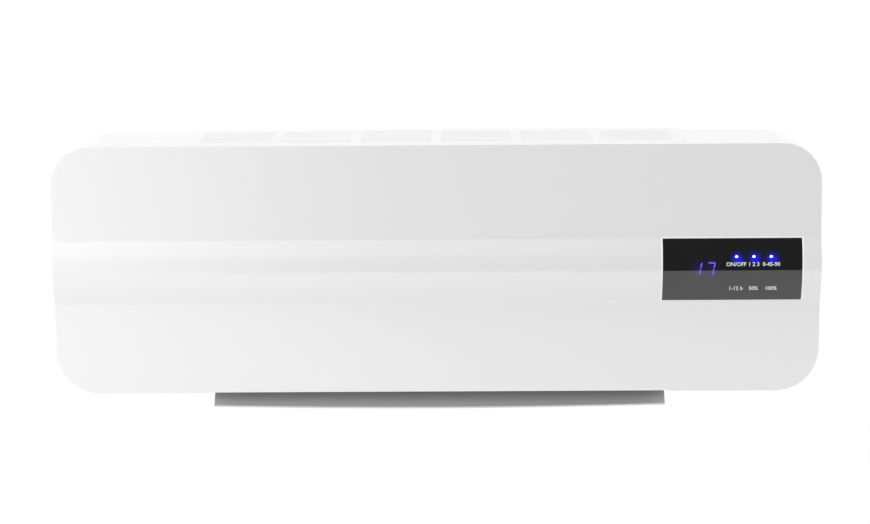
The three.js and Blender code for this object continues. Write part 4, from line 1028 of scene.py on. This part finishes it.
def leanSlots(grille):
    # the rear wall of every slot leans back, so that from the front the cover looks closed
    g = slotLook
    low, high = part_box("intake_grille")
    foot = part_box("front_cover")[1].z
    slope = (high.z - foot) / (high.y - low.y - 1.5 * mm)
    half = g["length"] / 2
    wedge = addBlock("wedge", (-half, -g["width"] / 4, -g["drop"]), (half, g["lean"], g["drop"] / 2))
    edit(wedge)
    pick(wedge, "verts", lambda v: v.co.z < 0 and v.co.y > 0)
    bpy.ops.transform.translate(value=(0, -g["lean"], 0))
    bpy.ops.object.mode_set(mode="OBJECT")
    wedges = []
    for column in range(g["columns"]):
        for row in range(g["rows"]):
            rear = g["middle"] + (row - (g["rows"] - 1) / 2) * g["rowPitch"] + g["width"] / 2
            copied = bpy.data.objects.new("wedge", wedge.data.copy())
            across = (column - (g["columns"] - 1) / 2) * g["columnPitch"]
            copied.location = (across, rear, foot + slope * (rear - low.y))
            scene.collection.objects.link(copied)
            wedges.append(copied)
    bpy.data.objects.remove(wedge)
    combine(grille, "DIFFERENCE", [joined(wedges)])


def joined(parts):
    deselect()
    for part in parts:
        part.select_set(True)
    bpy.context.view_layer.objects.active = parts[0]
    bpy.ops.object.join()
    bpy.ops.object.transform_apply(location=True, rotation=True, scale=True)
    return parts[0]


slotOf = {part["node"]: part["material_slot"] for part in frame["record"]["subparts"]}
for node, (body, rounding, angle) in dressed.items():
    piece = cleanCopy(node, node.replace("case_", "cover_").title().replace("_", ""))
    if node == "intake_grille":
        leanSlots(piece)
    if rounding:
        softenEdges(piece, rounding * mm)
    finishMesh(piece, angle)
    seat(piece, slotOf[node], body, node)
print("dressed pieces:", len(dressed))

for node, part in frame["nodes"].items():
    if node not in dressed:
        part.data.materials.clear()
        part.data.materials.append(materials[slotOf[node]])

# ---- studio
studio = {
    "floor": -0.6,
    "floorFront": -2.35,
    "floorRear": 3.0,
    "floorHalf": 3.0,
    "floorColor": 0.86,
    "floorGlow": 0.82,  # share of plain brightness when it is looked at
    "floorLevel": 1.05,
    "horizon": 0.69,  # strength of the surroundings at eye level
    "zenith": 1.06,  # and overhead
    "lights": {
        # name: place, aim, width and height, spread in degrees, power
        "softSide": ((-0.8, -0.7, 0.2), (-0.4, -0.1, 0.0), (0.5, 0.5), 50, 0.25),
        "softFront": ((-0.19, -2.09, 1.15), (-0.19, -0.1, 0.0), (1.0, 1.2), 180, 1.57),
        "softTop": ((-0.5, -1.3, 2.0), (-0.1, -0.1, 0.0), (1.2, 1.2), 180, 3.2),
    },
    "flagPlace": -2.4,
    "flagFoot": -0.6,
    "flagHeight": 3.2,
    "flagDark": 0.02,
    "flagFade": (-0.17, -0.85),  # dark to the right of the first place, bright to the left of the second
}


def lookRays(tree):
    # rays that look straight, by reflection or through glass
    path = addNode(tree, "LightPath")
    seen = calc(tree, "ADD", path.outputs["Is Camera Ray"], path.outputs["Is Glossy Ray"])
    return calc(tree, "MINIMUM", calc(tree, "ADD", seen, path.outputs["Is Transmission Ray"]), 1.0)


def studioMaterial(name):
    material = bpy.data.materials.new(name)
    material.use_nodes = True
    tree = material.node_tree
    tree.nodes.remove(tree.nodes["Principled BSDF"])
    return material, tree, tree.nodes["Material Output"].inputs["Surface"]


def makeWorld():
    world = bpy.data.worlds.new("studioWorld")
    world.use_nodes = True
    scene.world = world
    tree = world.node_tree
    background = tree.nodes["Background"]
    background.inputs["Color"].default_value = (1, 1, 1, 1)
    upward = addNode(tree, "SeparateXYZ", {0: addNode(tree, "TexCoord").outputs["Generated"]}).outputs[2]
    lighting = addNode(tree, "MapRange", {0: upward, 3: studio["horizon"], 4: studio["zenith"]}).outputs[0]
    level = addNode(tree, "MapRange", {0: lookRays(tree), 3: lighting, 4: 1.0}).outputs[0]
    tree.links.new(level, background.inputs["Strength"])


def makeFloor():
    s = studio
    depth = s["floorRear"] - s["floorFront"]
    floor = addPanel("studioFloor", (0, s["floorFront"] + depth / 2, s["floor"]), 2 * s["floorHalf"], depth)
    material, tree, surface = studioMaterial("studioFloor")
    place = addNode(tree, "TexCoord").outputs["Object"]
    cloud = addNode(tree, "TexNoise", {"Vector": place, "Scale": 3.0, "Detail": 3.0}).outputs[0]
    tone = mixColors(tree, cloud, gray(s["floorColor"]), gray(s["floorColor"] * 1.02))
    matte = addNode(tree, "BsdfDiffuse", {"Color": tone})
    bright = addNode(tree, "Emission", {"Color": gray(1.0), "Strength": s["floorLevel"]})
    share = calc(tree, "MULTIPLY", lookRays(tree), s["floorGlow"])
    both = addNode(tree, "MixShader", {0: share, 1: matte.outputs[0], 2: bright.outputs[0]})
    under = addNode(tree, "NewGeometry").outputs["Backfacing"]  # nothing to see from below
    clear = addNode(tree, "BsdfTransparent")
    shown = addNode(tree, "MixShader", {0: under, 1: both.outputs[0], 2: clear.outputs[0]})
    tree.links.new(shown.outputs[0], surface)
    floor.data.materials.append(material)


def makeFlag():
    # the dark half of the studio behind the camera, fading out to the left, seen only as a reflection
    s = studio
    middleHeight = s["flagFoot"] + s["flagHeight"] / 2
    flag = addPanel("darkFlag", (0, s["flagPlace"], middleHeight), 2 * s["floorHalf"], s["flagHeight"], True)
    material, tree, surface = studioMaterial("darkFlag")
    place = addNode(tree, "TexCoord").outputs["Object"]
    across = addNode(tree, "SeparateXYZ", {0: place}).outputs[0]
    dark, bright = s["flagFade"]
    level = addNode(tree, "MapRange", {0: across, 1: dark, 2: bright, 3: s["flagDark"], 4: 1.0}).outputs[0]
    glow = addNode(tree, "Emission", {"Color": gray(1.0), "Strength": level})
    tree.links.new(glow.outputs[0], surface)
    flag.data.materials.append(material)
    for ray in ("camera", "diffuse", "transmission", "volume_scatter", "shadow"):
        setattr(flag, "visible_" + ray, False)


def makeLights():
    for name, (place, aim, size, spread, power) in studio["lights"].items():
        data = bpy.data.lights.new(name, "AREA")
        data.shape = "RECTANGLE"
        data.size, data.size_y = size
        data.spread = math.radians(spread)
        data.energy = power
        light = bpy.data.objects.new(name, data)
        scene.collection.objects.link(light)
        light.location = place
        light.rotation_euler = (Vector(aim) - Vector(place)).to_track_quat("-Z", "Y").to_euler()
        light.visible_glossy = name != "softSide"


makeWorld()
makeFloor()
makeFlag()
makeLights()
print("studio made")
